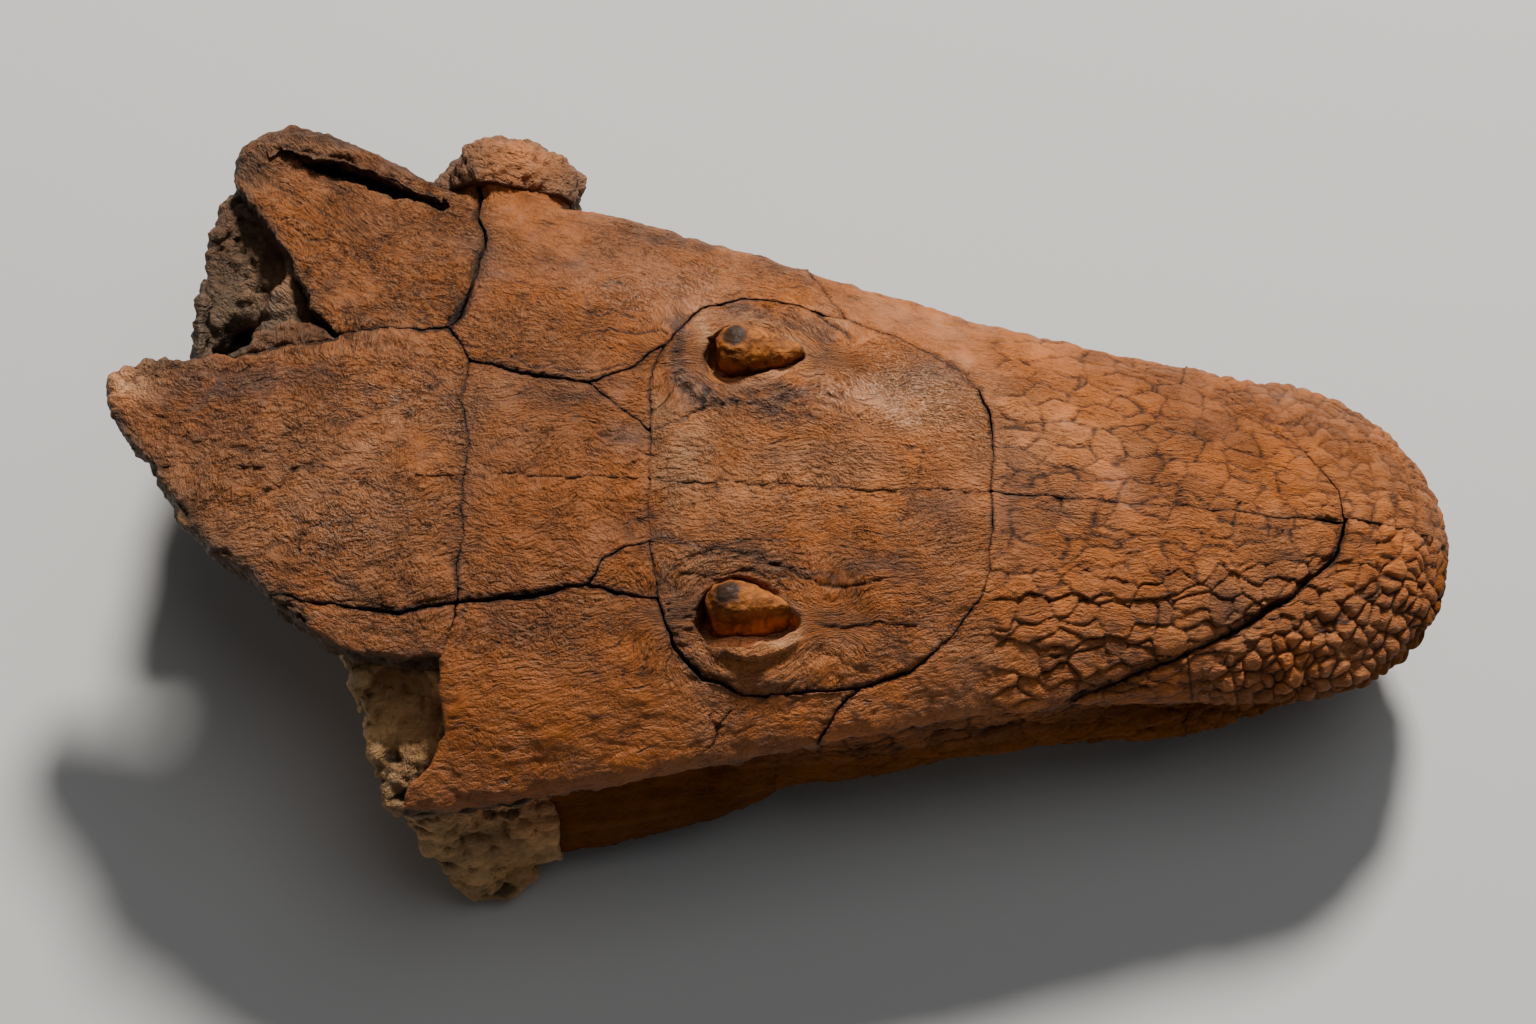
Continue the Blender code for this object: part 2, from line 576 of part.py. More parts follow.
def finish(name, colour, roughness):
    made = bpy.data.materials.new(name)
    made.use_nodes = True
    shader = made.node_tree.nodes["Principled BSDF"]
    shader.inputs["Base Color"].default_value = (*colour, 1)
    shader.inputs["Roughness"].default_value = roughness
    shader.inputs["Metallic"].default_value = 0.0
    return made


def dress():
    """Warm brown bone, paler sandy stone in the block, and the rusty pegs."""
    roof = finish("bone", (0.36, 0.16, 0.07), 0.62)
    stone = finish("stone", (0.26, 0.18, 0.11), 0.85)
    rust = finish("rust", (0.42, 0.17, 0.03), 0.45)
    stony = {"braincase", "palate", "quadrate_left", "quadrate_right", "otic_block_left"}
    for obj in bpy.context.scene.objects:
        chosen = rust if obj.name.startswith("peg") else stone if obj.name in stony else roof
        obj.data.materials.clear()
        obj.data.materials.append(chosen)
        obj.data.shade_smooth()
        obj.data.set_sharp_from_angle(angle=math.radians(38))


def main():
    for obj in list(bpy.data.objects):
        bpy.data.objects.remove(obj)
    rng = random.Random(7)
    skull = skull_block()
    cut_roof(skull, rng)
    cut_block(skull, rng)
    peg("peg_left", 1)
    peg("peg_right", -1)
    dress()


main()
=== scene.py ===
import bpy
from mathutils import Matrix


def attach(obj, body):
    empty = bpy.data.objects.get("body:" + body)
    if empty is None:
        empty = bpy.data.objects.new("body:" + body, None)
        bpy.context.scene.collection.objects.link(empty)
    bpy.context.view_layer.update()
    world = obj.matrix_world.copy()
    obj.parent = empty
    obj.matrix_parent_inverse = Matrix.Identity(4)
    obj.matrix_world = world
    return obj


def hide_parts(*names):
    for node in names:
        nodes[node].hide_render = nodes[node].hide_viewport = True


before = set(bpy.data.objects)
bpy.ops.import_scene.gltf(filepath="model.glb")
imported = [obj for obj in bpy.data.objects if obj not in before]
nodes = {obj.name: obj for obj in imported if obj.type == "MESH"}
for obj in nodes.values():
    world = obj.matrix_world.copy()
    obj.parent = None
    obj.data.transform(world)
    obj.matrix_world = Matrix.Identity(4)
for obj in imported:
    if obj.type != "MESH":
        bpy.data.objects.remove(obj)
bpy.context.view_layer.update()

import math
import time
import bmesh
import bpy
import numpy as np
from mathutils import Matrix, Vector
from mathutils.bvhtree import BVHTree

began = time.time()
mm = 0.001
# The skull is worked in millimetres along its own midline: x to the snout, y to its left side, z up
midline = {"shiftX": 0.16, "shiftY": -6.6}

print("camera, floor and lights")

camera = {"target": (-3.24, -8.2, 50), "azimuth": 1.2, "elevation": 70, "distance": 672,
          "lens": 90, "sensor": 36}
floorLook = {"size": 4.0, "colour": (0.62, 0.615, 0.60), "roughness": 0.9}
lights = {
    "key": {"from": (0.22, 0.95, 0.95), "distance": 1.5, "size": 0.26, "power": 39.0,
            "colour": (1.0, 0.96, 0.91)},
    "sky": {"from": (0.25, 0.15, 1.0), "distance": 1.6, "size": 1.2, "power": 4.0,
            "colour": (0.96, 0.98, 1.0)},
}
worldLook = {"colour": (0.92, 0.95, 1.0), "strength": 0.07}


def placed(name, data):
    made = bpy.data.objects.new(name, data)
    bpy.context.scene.collection.objects.link(made)
    return made


def turnedTo(back, place):
    # a matrix that looks along minus back from a place, with its own up side up
    right = Vector((0, 0, 1)).cross(back).normalized()
    up = back.cross(right)
    turn = Matrix((right, up, back)).transposed().to_4x4()
    turn.translation = place
    return turn


def makeCamera(look):
    az, el = math.radians(look["azimuth"]), math.radians(look["elevation"])
    back = Vector((math.sin(az) * math.cos(el), -math.cos(az) * math.cos(el), math.sin(el)))
    data = bpy.data.cameras.new("museumCamera")
    data.lens = look["lens"]
    data.sensor_width = look["sensor"]
    data.clip_start = 0.01
    made = placed("museumCamera", data)
    made.matrix_world = turnedTo(back, (Vector(look["target"]) + back * look["distance"]) * mm)
    bpy.context.scene.camera = made


def makeLight(name, look):
    data = bpy.data.lights.new(name, "AREA")
    data.shape = "DISK"
    data.size = look["size"]
    data.energy = look["power"]
    data.color = look["colour"]
    made = placed(name, data)
    back = Vector(look["from"]).normalized()
    made.matrix_world = turnedTo(back, back * look["distance"])


def makeFloor(look):
    bm = bmesh.new()
    bmesh.ops.create_grid(bm, x_segments=2, y_segments=2, size=look["size"] / 2)
    mesh = bpy.data.meshes.new("studioFloor")
    bm.to_mesh(mesh)
    bm.free()
    made = placed("studioFloor", mesh)
    material = bpy.data.materials.new("studioFloor")
    material.use_nodes = True
    shader = material.node_tree.nodes["Principled BSDF"]
    shader.inputs["Base Color"].default_value = (*look["colour"], 1)
    shader.inputs["Roughness"].default_value = look["roughness"]
    mesh.materials.append(material)


makeCamera(camera)
makeFloor(floorLook)
for lightName, lightLook in lights.items():
    makeLight(lightName, lightLook)
world = bpy.data.worlds.new("studioWorld")
world.use_nodes = True
backdrop = world.node_tree.nodes["Background"].inputs
backdrop["Color"].default_value = (*worldLook["colour"], 1)
backdrop["Strength"].default_value = worldLook["strength"]
bpy.context.scene.world = world

print("noise and curves")

# How far a cell's middle strays from the even grid
cellJitter = 0.85


def lattice(ix, iy, iz, seed):
    # a repeatable whole number for each whole-number place
    n = ix * np.uint32(374761393) + iy * np.uint32(668265263) + iz * np.uint32(2147483647)
    n = n + np.uint32(seed * 7919 + 17)
    n = (n ^ (n >> np.uint32(13))) * np.uint32(1274126177)
    n = (n ^ (n >> np.uint32(16))) * np.uint32(2246822519)
    return n ^ (n >> np.uint32(15))


def tenBits(n, shift):
    return ((n >> np.uint32(shift)) & np.uint32(1023)).astype(np.float32) / 1023.0


def noiseAt(p, scale, seed):
    # smooth noise of about -1 to 1; scale is the size of its swells in mm, one number or one per axis
    q = (p / np.asarray(scale, np.float32)).astype(np.float32)
    base = np.floor(q)
    f = q - base
    i = base.astype(np.int64).astype(np.uint32)
    w = f * f * f * (f * (f * 6 - 15) + 10)
    total = np.zeros(len(q), np.float32)
    for cx in (0, 1):
        for cy in (0, 1):
            for cz in (0, 1):
                n = lattice(i[:, 0] + np.uint32(cx), i[:, 1] + np.uint32(cy), i[:, 2] + np.uint32(cz), seed)
                slope = ((tenBits(n, 0) * 2 - 1) * (f[:, 0] - cx) + (tenBits(n, 10) * 2 - 1) * (f[:, 1] - cy)
                         + (tenBits(n, 20) * 2 - 1) * (f[:, 2] - cz))
                share = (w[:, 0] if cx else 1 - w[:, 0]) * (w[:, 1] if cy else 1 - w[:, 1])
                total += slope * share * (w[:, 2] if cz else 1 - w[:, 2])
    return total * 1.7


def noises(p, scale, *seeds):
    # one smooth noise a column
    return np.stack([noiseAt(p, scale, seed) for seed in seeds], 1)


def fall(v, half):
    # 1 at 0, falling off to both sides
    return np.exp(-((v / half) ** 2))


def creasesAt(p, scale, seed, edge):
    # 1 along thin wandering lines
    return fall(noiseAt(p, scale, seed), edge)


def layered(p, scale, seed, layers):
    scale = np.asarray(scale, np.float32)
    return sum(noiseAt(p, scale / 2**k, seed + 31 * k) / 2**k for k in range(layers))


def cellsAt(p, scale, seed):
    # nearest and second nearest cell middles, the way from the nearest one, and its own random number
    q = (p / np.asarray(scale, np.float32)).astype(np.float32)
    base = np.floor(q)
    first = np.full(len(q), 9.0, np.float32)
    second = np.full(len(q), 9.0, np.float32)
    away = np.zeros((len(q), 3), np.float32)
    own = np.zeros(len(q), np.float32)
    for dx in (-1, 0, 1):
        for dy in (-1, 0, 1):
            for dz in (-1, 0, 1):
                corner = base + np.array((dx, dy, dz), np.float32)
                i = corner.astype(np.int64).astype(np.uint32)
                n = lattice(i[:, 0], i[:, 1], i[:, 2], seed)
                spot = np.stack([tenBits(n, 0), tenBits(n, 10), tenBits(n, 20)], 1) - 0.5
                way = q - (corner + 0.5 + spot * cellJitter)
                far = np.sqrt((way * way).sum(1))
                nearer = far < first
                second = np.where(nearer, first, np.minimum(second, far))
                first = np.where(nearer, far, first)
                away[nearer] = way[nearer]
                own[nearer] = tenBits(n[nearer], 5)
    return first, second, away, own


def zeros(p):
    return np.zeros(len(p), np.float32)


def ramp(v, low, high):
    # 0 up to low, 1 from high on, smooth between
    t = np.clip((v - low) / (high - low), 0, 1)
    return t * t * (3 - 2 * t)


def spotAt(p, cx, cy, rx, ry):
    # 1 in the middle of a soft oval in plan, 0 well outside it
    return np.exp(-((p[:, 0] - cx) / rx) ** 2 - ((p[:, 1] - cy) / ry) ** 2)


def nearLine(p, line, reach):
    # distance in plan from a bent line, a large number when further than the reach
    x, y = p[:, 0], p[:, 1]
    out = np.full(len(p), 99.0, np.float32)
    xs, ys = [q[0] for q in line], [q[1] for q in line]
    close = (x > min(xs) - reach) & (x < max(xs) + reach) & (y > min(ys) - reach) & (y < max(ys) + reach)
    px, py = x[close], y[close]
    best = np.full(len(px), 99.0, np.float32)
    for (ax, ay), (bx, by) in zip(line, line[1:]):
        t = np.clip(((px - ax) * (bx - ax) + (py - ay) * (by - ay)) / ((bx - ax) ** 2 + (by - ay) ** 2), 0, 1)
        best = np.minimum(best, np.hypot(px - ax - (bx - ax) * t, py - ay - (by - ay) * t))
    out[close] = best
    return out


print("the skull's own layout")

sockets = [(-6.3, 24.4), (-6.3, -24.4)]
# The skull's half width along it, the rings round the sockets, and where the fibres of the squamosal slant;
# the last line has the size and the strength of the wiggles in mm
grainLook = {
    "halfWidths": ([-119, -62, -20, 20, 56, 82, 105, 119], [76, 60, 53, 41, 33, 30.5, 25, 20]),
    "socket": {"x": -6.0, "stretch": 1.35, "inner": 9.0, "outer": 17.0},
    "slant": 0.2, "slantBehind": -57, "slantBeside": (21, 30),
    "sway": (21.0, 2.2), "along": (9.0, 1.5), "across": (7.0, 0.6),
}


def wiggle(p, look, seed):
    size, strength = look
    return noiseAt(p, size, seed) * strength


def grainOf(p):
    # place along the fibres, place across them, and height: they run in rings round the sockets
    x, y = p[:, 0], p[:, 1]
    squeeze = 45 / np.interp(x, *grainLook["halfWidths"])
    slanted = np.minimum(x - grainLook["slantBehind"], 0) * ramp(y, *grainLook["slantBeside"])
    across = y * squeeze + grainLook["slant"] * slanted
    ring = grainLook["socket"]
    for sx, sy in sockets:
        dx, dy = (x - ring["x"]) / ring["stretch"], y - sy
        around = np.hypot(dx, dy)
        near = ramp(-around, -ring["outer"], -ring["inner"])
        across = across * (1 - near) + near * (sy + around * np.tanh(dy / 2.5)) * squeeze
    along = x + wiggle(p, grainLook["along"], 6)
    across = across + wiggle(p, grainLook["sway"], 5) + wiggle(p, grainLook["across"], 7)
    return np.stack([along, across, p[:, 2]], 1).astype(np.float32)


# How the joint between two bones looks: how far it gapes (less than 0 closes the modelled gap), how deep its
# edges sink and how far beside it, and how dark it is. The first pair whose words fit both names is used.
joints = [
    ("peg_", "", 0.0, 0.0, 0.3, 0.2),
    ("parietal_", "parietal_", -0.2, 0.0, 0.25, 0.35),
    ("frontal_left", "postorbital_left", -0.06, 0.08, 0.35, 0.9),
    ("frontal_right", "postorbital_right", -0.04, 0.12, 0.4, 0.9),
    ("parietal_", "frontal_", -0.14, 0.06, 0.3, 0.8),
    ("postfrontal_right", "prefrontal_right", -0.12, 0.08, 0.3, 0.85),
    ("postfrontal_right", "", -0.1, 0.12, 0.35, 0.9),
    ("postfrontal_left", "", -0.1, 0.1, 0.3, 0.85),
    ("frontal_", "prefrontal_", -0.16, 0.05, 0.3, 0.7),
    ("frontal_", "frontal_", -0.19, 0.02, 0.25, 0.6),
    ("prefrontal_", "prefrontal_", -0.16, 0.02, 0.25, 0.75),
    ("prefrontal_", "nasal_", -0.1, 0.1, 0.35, 0.9),
    ("nasal_", "nasal_", -0.12, 0.05, 0.28, 0.9),
    ("postorbital_left", "prefrontal_left", -0.12, 0.1, 0.35, 0.8),
    ("postorbital_right", "prefrontal_right", -0.1, 0.14, 0.4, 0.85),
    ("nasal_left", "axilla_left", -0.15, 0.06, 0.35, 0.5),
    ("nasal_right", "axilla_right", -0.03, 0.5, 0.8, 0.9),
    ("nasal_right", "postorbital_right", -0.05, 0.15, 0.45, 0.85),
    ("axilla_", "axilla_", -0.14, 0.02, 0.25, 0.75),
    ("squamosal_left", "postorbital_left", 0.0, 0.8, 1.5, 0.7),
    ("parietal_left", "loose_fragment_left", 0.2, 0.9, 1.0, 1.0),
    ("parietal_left", "squamosal_left", -0.08, 0.15, 0.45, 0.85),
    ("parietal_right", "supratemporal_right", -0.06, 0.14, 0.4, 0.9),
    ("parietal_right", "postorbital_right", -0.08, 0.12, 0.4, 0.8),
    ("supratemporal_right", "postorbital_right", -0.13, 0.1, 0.35, 0.7),
    ("maxilla", "jugal", -0.2, 0.02, 0.4, 0.1),
    ("jugal", "quadrate", -0.2, 0.02, 0.4, 0.1),
    ("", "", -0.1, 0.15, 0.45, 0.6),
]
# Where a joint stands wider open: middle and half sizes in plan, then what it gapes and sinks there
openings = [(-44, 20.8, 10, 4, 0.2, 0.45), (-44, -21.8, 12, 4, 0.22, 0.5), (-66, -23.6, 8, 3, 0.12, 0.3),
            (-16, -33, 8, 5, 0.14, 0.3), (18, -31, 9, 6, 0.14, 0.3), (-59, 33, 3, 6, 0.16, 0.4),
            (95, -5, 3.5, 9, 0.2, 0.7), (84, -16.5, 9, 5, 0.15, 0.4), (33, 14, 4, 5, 0.1, 0.3)]


def jointOf(one, other):
    for a, b, *look in joints:
        if (a in one and b in other) or (a in other and b in one):
            return look


slotLine = [(-92.8, 66), (-89.8, 65.3), (-82, 63.8), (-74.5, 61.4), (-68.8, 59.2), (-64.5, 58)]
# Cracks that aren't joints: half width, depth and darkness in front, then points in plan
cracks = [
    (0.22, 0.28, 0.6, [(-24, -10.8), (-20, -10.2), (-15, -12.2), (-13, -12.4), (-8, -10.7), (-3, -11.2),
                       (1, -10.4)]),
    (0.3, 0.4, 0.6, [(-13, -12.4), (-5, -13.6), (0, -15.6), (4, -17.2), (8, -18.6), (13, -17.8),
                     (17, -16.5)]),
    (0.25, 0.4, 0.7, [(-13, -12.4), (-17, -14.6), (-20, -16.4)]),
    (0.26, 0.4, 0.7, [(-18, -17), (-14, -17.6), (-9, -16.4), (-3, -17.2), (1, -19.4)]),
    (0.25, 0.3, 0.5, [(5, -24.6), (11, -25.2), (16, -24.2), (23, -24.6)]),
    (0.25, 0.4, 0.8, [(-22.5, 10), (-20, 11), (-17, 12.5), (-15, 13.2)]),
    (0.4, 0.6, 1.0, [(-15, 13.2), (-15.5, 15), (-14.5, 17.5)]),
    (0.22, 0.35, 0.8, [(-33.5, 27.4), (-31.5, 28.8), (-27, 28.4), (-22, 28.9)]),
    (0.2, 0.3, 0.7, [(-36, 32.6), (-33, 31.7), (-31, 32.6)]),
    (0.3, 0.5, 0.9, [(5, 34.6), (8, 31.8), (10.4, 29.8)]),
    (0.25, 0.4, 0.8, [(-12.6, -44.4), (-11.2, -41.6), (-9, -38.6)]),
    (0.22, 0.35, 0.7, [(-11.2, -41.6), (-12.6, -39.6)]),
    # the next four are wide soft valleys at the edges of folds, and their slight darkness is painted shade
    (1.1, 0.5, 0.12, [(-98, -12.6), (-94, -8), (-90, -3.6), (-85, 0.4), (-79, 2.6)]),
    (0.8, 0.3, 0.1, [(-113, 9.6), (-104, 6.6), (-96, 4.6), (-90, 3.4)]),
    (0.7, 0.3, 0.15, [(-78, 8), (-72, 11.8), (-66, 14.8), (-60.5, 17.4)]),
    (0.7, 0.3, 0.12, [(-92, -15), (-84, -11.6), (-75, -8.4), (-66, -7)]),
    (0.25, 0.35, 0.7, [(-49, 22.6), (-45, 21), (-38, 20.1), (-33, 20.5), (-29, 21.8)]),
    (0.25, 0.2, 0.45, [(23, 5), (22, 0), (20.5, -4), (19, -9)]),
    (0.22, 0.2, 0.4, [(25, -4.6), (21.5, -8.2), (19.5, -10)]),
    (0.3, 0.5, 0.9, [(24, 27.8), (28.5, 24.4), (31.8, 21), (34, 18.8)]),
    # the torn slot along the squamosal
    (0.9, 1.4, 0.75, slotLine),
]

# Colour patches in plan: middle, half sizes and strength
patches = {
    "violet": [
        (39, 0, 4, 13, 0.5), (50, -1, 9, 4, 0.5), (-20, 25, 1.8, 8, 1), (-17.4, 18, 2.4, 3.4, 1),
        (-12, 15.6, 6, 1.8, 1), (-2, 15.6, 7, 1.6, 0.9), (-104, 17, 10, 5, 0.7), (-7, 34.2, 7, 1.8, 0.9),
        (4, 31, 5, 2, 0.6), (-4, 16.4, 12, 2.6, 1), (-2, 12.4, 9, 2, 0.6), (27, -3, 6, 6, 0.6),
        (-37, 15, 8, 2.4, 0.8), (-28, 7.6, 5, 3, 0.8), (-5, -13.2, 9, 2.6, 0.8), (13, -14, 7, 3, 0.7),
        (-97, 17, 13, 4, 1), (-85, 18, 8, 4, 0.7), (58, 1.5, 14, 4.5, 0.45), (66, -3, 8, 3, 0.4),
        (-42, 43, 8, 3, 0.4), (-20, 50.5, 14, 2.4, 0.8), (3, 45, 10, 2, 0.6), (-56, -4, 2.5, 16, 0.4),
        (72, 14, 8, 4, 0.35), (-55, 40, 3, 12, 0.5), (-48, -27, 12, 3, 0.5), (-19, -24, 3, 6, 0.5),
        (6, 6, 8, 3, 0.4), (-100, 10, 8, 6, 0.4),
    ],
    # pale patches: most are the bone's own paler stains, but those on the walls and lips of the sockets are
    # painted light where they lie in shade, and those at (18, 17) and (21, 17) are a painted highlight over
    # the glints
    "pale": [
        (-84, -6, 24, 14, 0.35), (2, 2, 16, 9, 0.4), (-15.6, 28, 2, 6, 0.9), (-20, 11, 3, 3, 0.8),
        (-18, 4, 5, 10, 1), (21, 17, 10, 6, 0.8), (-10, -3, 10, 6, 0.4), (-8, 31, 8, 2.2, 0.7),
        (-4, -31, 8, 2.4, 0.3), (-14, -15, 5, 3, 0.4), (-115, 17.5, 5, 3.4, 1), (18, 17, 9, 6, 0.6),
        (-62, 12, 12, 6, 0.3), (-76, -10, 10, 6, 0.35), (-55, 46, 3, 8, 0.4), (-60, 57, 6, 3, 0.4),
        (44, 10, 12, 9, 0.3), (-28, 54, 8, 2.5, 0.4), (60, 9, 10, 5, 0.25), (-8, 18.8, 7, 1.6, 0.9),
        (-8, -30, 7, 1.8, 0.4), (4, 24, 3.5, 4, 0.5), (-15.2, 29, 2.2, 5, 1), (-22, 12, 4, 3, 0.9),
    ],
    "orange": [
        (-44, -13, 12, 8, 0.9), (10, -24, 18, 7, 0.8), (-52, 62, 9, 8, 1), (19, 28, 12, 4.5, 1),
        (-28, 15.5, 5.5, 5, 1), (-28, -16, 5, 4.5, 1), (62, 22, 34, 10, 1), (-50, 68, 12, 8, 1),
        (18, -22, 12, 5, 0.9), (-45, -6, 12, 10, 1), (-40, -42, 24, 12, 1), (8, -5, 12, 5, 0.4),
        (76, 10, 22, 14, 1), (97, -4, 14, 16, 0.6), (-60, -12, 10, 8, 0.3), (-80, 46, 14, 9, 0.6),
        (50, -14, 18, 7, 0.35), (-85, -8, 10, 5, 0.4), (-4, -44, 14, 6, 0.6), (50, 22, 18, 6, 0.5),
    ],
    # dark patches: most are stains, but those at the rear of each socket are painted shade in its deep void,
    # and those along the worn rims are partly the rim's own colour and partly painted shade where the plates
    # curve down
    "dark": [
        (-30, 18.4, 4, 1.4, 0.8), (-26, -7.6, 5, 2.6, 0.7), (-50, 29.5, 6, 4, 0.4),
        (-45, 22.6, 8, 1.4, 0.6), (77, -17.5, 3.2, 2.4, 0.9), (66, -12.5, 2.6, 1.8, 0.6),
        (84, -11, 2.4, 1.8, 0.6), (-18, 39, 7, 1.4, 0.4), (-11.6, 45.4, 0.9, 0.9, 0.9),
        (-92, 0.6, 6, 3.2, 0.4), (-87, -17, 7, 4, 0.5), (-103, -5, 6, 5, 0.3), (1, -17.4, 5, 1.4, 0.5),
        (-60, 34, 3, 8, 0.5), (-95, 8, 12, 3, 0.25), (52, -27, 10, 2, 0.4), (-15.4, 23.6, 1.4, 3, 0.8),
        (-15.4, -22, 1.4, 3, 0.8), (99, -3, 3, 4, 0.5), (-88, 26, 8, 3, 0.6), (-84, 70, 16, 3, 0.7),
        (-99, 63, 5, 5, 0.6), (-104, 52, 3, 9, 0.6), (-70, 64, 8, 2.4, 0.6), (-116, 8, 4, 6, 0.5),
        (-107, -4, 4, 5, 0.5), (-97, -14, 6, 4, 0.5),
    ],
    # bone worn open to its rough inside
    "worn": [
        (-84, 69.5, 13, 2.6, 1), (-99, 63, 4, 4, 0.9), (-104, 52, 3, 9, 1), (-70, 64, 8, 2.2, 0.8),
        (-108, 22, 8, 1.4, 0.7), (-91, 24, 6, 2, 0.5),
    ],
    # glossy places, which also get pale specks painted as highlights of glints
    "shine": [
        (20, 19, 12, 7, 1), (-64, 14, 10, 6, 0.5), (-75, -8, 10, 6, 0.5), (-25, 38, 14, 5, 0.4),
    ],
}
# The rims of the rear plate and of the squamosal that are worn open to the rough inside
parietalRim = [(-118.2, 12.5), (-113.8, 6), (-107.2, -2.8), (-100.5, -11.5), (-93, -17), (-86.5, -22.5),
               (-82.2, -26.2)]
squamosalRim = [(-99, 70), (-101.6, 65), (-101.6, 60), (-97, 54.2), (-92.2, 47.2), (-88.2, 40.5),
                (-84.2, 31.5)]
# Stained crumbling rings round the sockets, and those rims: strength, half width, points in plan; the dark
# along the rims is partly their own colour and partly painted shade where the plates curve down
stains = {
    "violet": [
        (1.0, 1.9, [(-19.6, 30.5), (-20.6, 26), (-20.2, 21.5), (-18, 17.6), (-14, 15.2), (-9, 14.6),
            (-3, 14.2), (2, 16.4)]),
        (0.8, 1.5, [(-9, 34.4), (-4, 33), (2, 31), (7, 29.4)]),
        (0.7, 1.3, [(-19.6, -17), (-19.8, -22), (-18.6, -27)]),
        (0.8, 1.4, [(-22, -10.4), (-13, -13), (-5, -14), (3, -16.5), (10, -18)]),
    ],
    "worn": [(1.0, 1.3, parietalRim), (0.8, 1.1, squamosalRim)],
    "dark": [(0.7, 1.1, parietalRim), (0.5, 1.2, squamosalRim)],
}
# Light and dark along the skull: darker to the rear and lighter towards the snout, partly the bone's own
# colour and partly a painted fall-off of the light; the rows below paint light and shade in places
toneAndPaintedLightLook = {
    "along": ([-119, -85, -55, -40, -22, 0, 20, 42, 80, 119],
              [0.68, 0.72, 0.68, 0.66, 0.72, 0.92, 0.92, 1.0, 0.94, 0.95]),
    # places that are darker or lighter as a whole: middle, half sizes and how much; most follow the bone's
    # own colour, but the one at (20, 16) is a painted highlight over the glints and the one at (-4, -31.5) is
    # painted light on the shaded slope below the near socket
    "shade": [(-78, 50, 20, 13, -0.16), (70, 26, 40, 12, -0.24), (50, -14, 18, 8, -0.14),
              (-45, 0, 14, 20, -0.08), (12, 0, 16, 9, 0.14), (46, 6, 14, 12, 0.2),
              (-35, -42, 24, 12, 0.12), (-16, 26, 4, 10, 0.2), (12, -14, 13, 9, -0.24),
              (20, 16, 10, 8, 0.22), (84, 20, 22, 10, -0.2), (-117, 17, 5, 4, 1.2),
              (-4, -31.5, 9, 2.4, 0.3)],
    # painted shade: the near flank is painted darker below the edge of the roof; painted light: the sockets
    # are painted lighter where they lie in shade, most on their floors
    "flank": 0.55, "flankTop": 39, "flankEnd": 33, "well": 0.1, "wellFloor": 1.1,
    # painted light: stone on the near side and at the foot, lit by the ground alone, is painted lighter, and
    # the lit rim of the notch is painted darker; the last row lightens the knob and paints light into the
    # shadow below the squamosal's rim
    "stoneNear": 1.4, "stoneFoot": 0.2, "stoneFar": 0.35, "notchRim": -0.6,
    "stoneShade": [(-50, 66, 12, 8, 0.4), (-94, 46, 5, 11, 0.7)],
}


def stainAt(p, kind):
    total = zeros(p)
    for strength, half, line in stains.get(kind, ()):
        total = np.maximum(total, fall(nearLine(p, line, 8.0), half) * strength)
    return total


def patchAt(p, kind):
    total = stainAt(p, kind)
    for *place, strength in patches[kind]:
        total = np.maximum(total, spotAt(p, *place) * strength)
    return total


def toneAndPaintedLightOf(p, kind, well):
    # how light each place is, the bone's own colour with painted light and shade, and how far it belongs to
    # the near flank
    x, y, z = p[:, 0], p[:, 1], p[:, 2]
    look = toneAndPaintedLightLook
    tone = np.interp(x, *look["along"])
    for *place, more in look["shade"]:
        tone *= 1 + more * spotAt(p, *place)
    # painted shade on the near flank below the edge of the roof
    flank = ramp(-z, -look["flankTop"], -look["flankEnd"]) * ramp(-y, -4, 4) * (kind == "skin")
    tone *= 1 - (1 - look["flank"]) * flank
    # painted light inside the sockets, strongest on their floors and in the near one
    tone *= 1 + well * (look["well"] + look["wellFloor"] * ramp(-z, -58, -54) * (1 + (y < 0)))
    if kind == "stone":
        # painted light on stone that lies in shade on the near side and at the foot, painted shade on the lit
        # rim of the notch, and the last patches, one of them painted light under the squamosal's rim
        near = ramp(-y, 4, 30)
        lift = look["stoneNear"] + look["stoneFoot"] * ramp(-z, -40, -26)
        tone *= 1 + lift * near + look["stoneFar"] * (1 - near)
        tone *= 1 + look["notchRim"] * ramp(-y, 42, 47) * ramp(z, 32, 38)
        tone *= 1 + sum(more * spotAt(p, *place) for *place, more in look["stoneShade"])
    return tone, flank


print("relief of the bone's surface")

# How strongly the fine texture shows on a bone, and how strongly its folds stand out
livelyWords = {"frontal": 0.92, "nasal": 0.65, "premaxilla": 0.55, "maxilla": 0.6, "squamosal": 1.6,
               "parietal": 1.15, "prefrontal": 1.05}
foldWords = {"squamosal": 2.6, "parietal": 1.8, "prefrontal": 0.8, "nasal": 0.7, "postorbital": 0.7}
# Height or depth in mm of what stands out or is sunk, its size, and the sharpness of its edges
relief = {
    "swell": 0.5, "swellScale": 13.0,
    "lump": 0.18, "lumpScale": 4.6,
    "fold": 0.14, "foldScale": (9.5, 2.6, 5.0), "foldEdge": 0.16, "socketFold": 0.34,
    "crease": 0.05, "creaseScale": (5.0, 1.7, 3.0), "creaseEdge": 0.2,
    "fibre": 0.07, "fibreScale": (3.6, 1.3, 2.6),
    "grit": 0.03, "gritScale": 1.0,
    "crumble": 0.6, "crumbleScale": (2.6, 1.1, 1.6),
    "flankRidge": 0.6, "flankRidgeScale": (24.0, 24.0, 2.8),
    "cheekRidge": 0.12, "cheekRidgeScale": (17.0, 2.6, 9.0), "cheekRidgeEdge": 0.22,
    "slotWall": 0.55, "slotWallScale": (4.0, 2.4, 2.4),
    "rust": 0.2, "rustScale": (2.2, 1.7, 2.0),
    # sideways wander of every joint, coarse and fine
    "wander": 0.34, "wanderScale": 3.2, "waver": 0.14, "waverScale": 1.3,
}
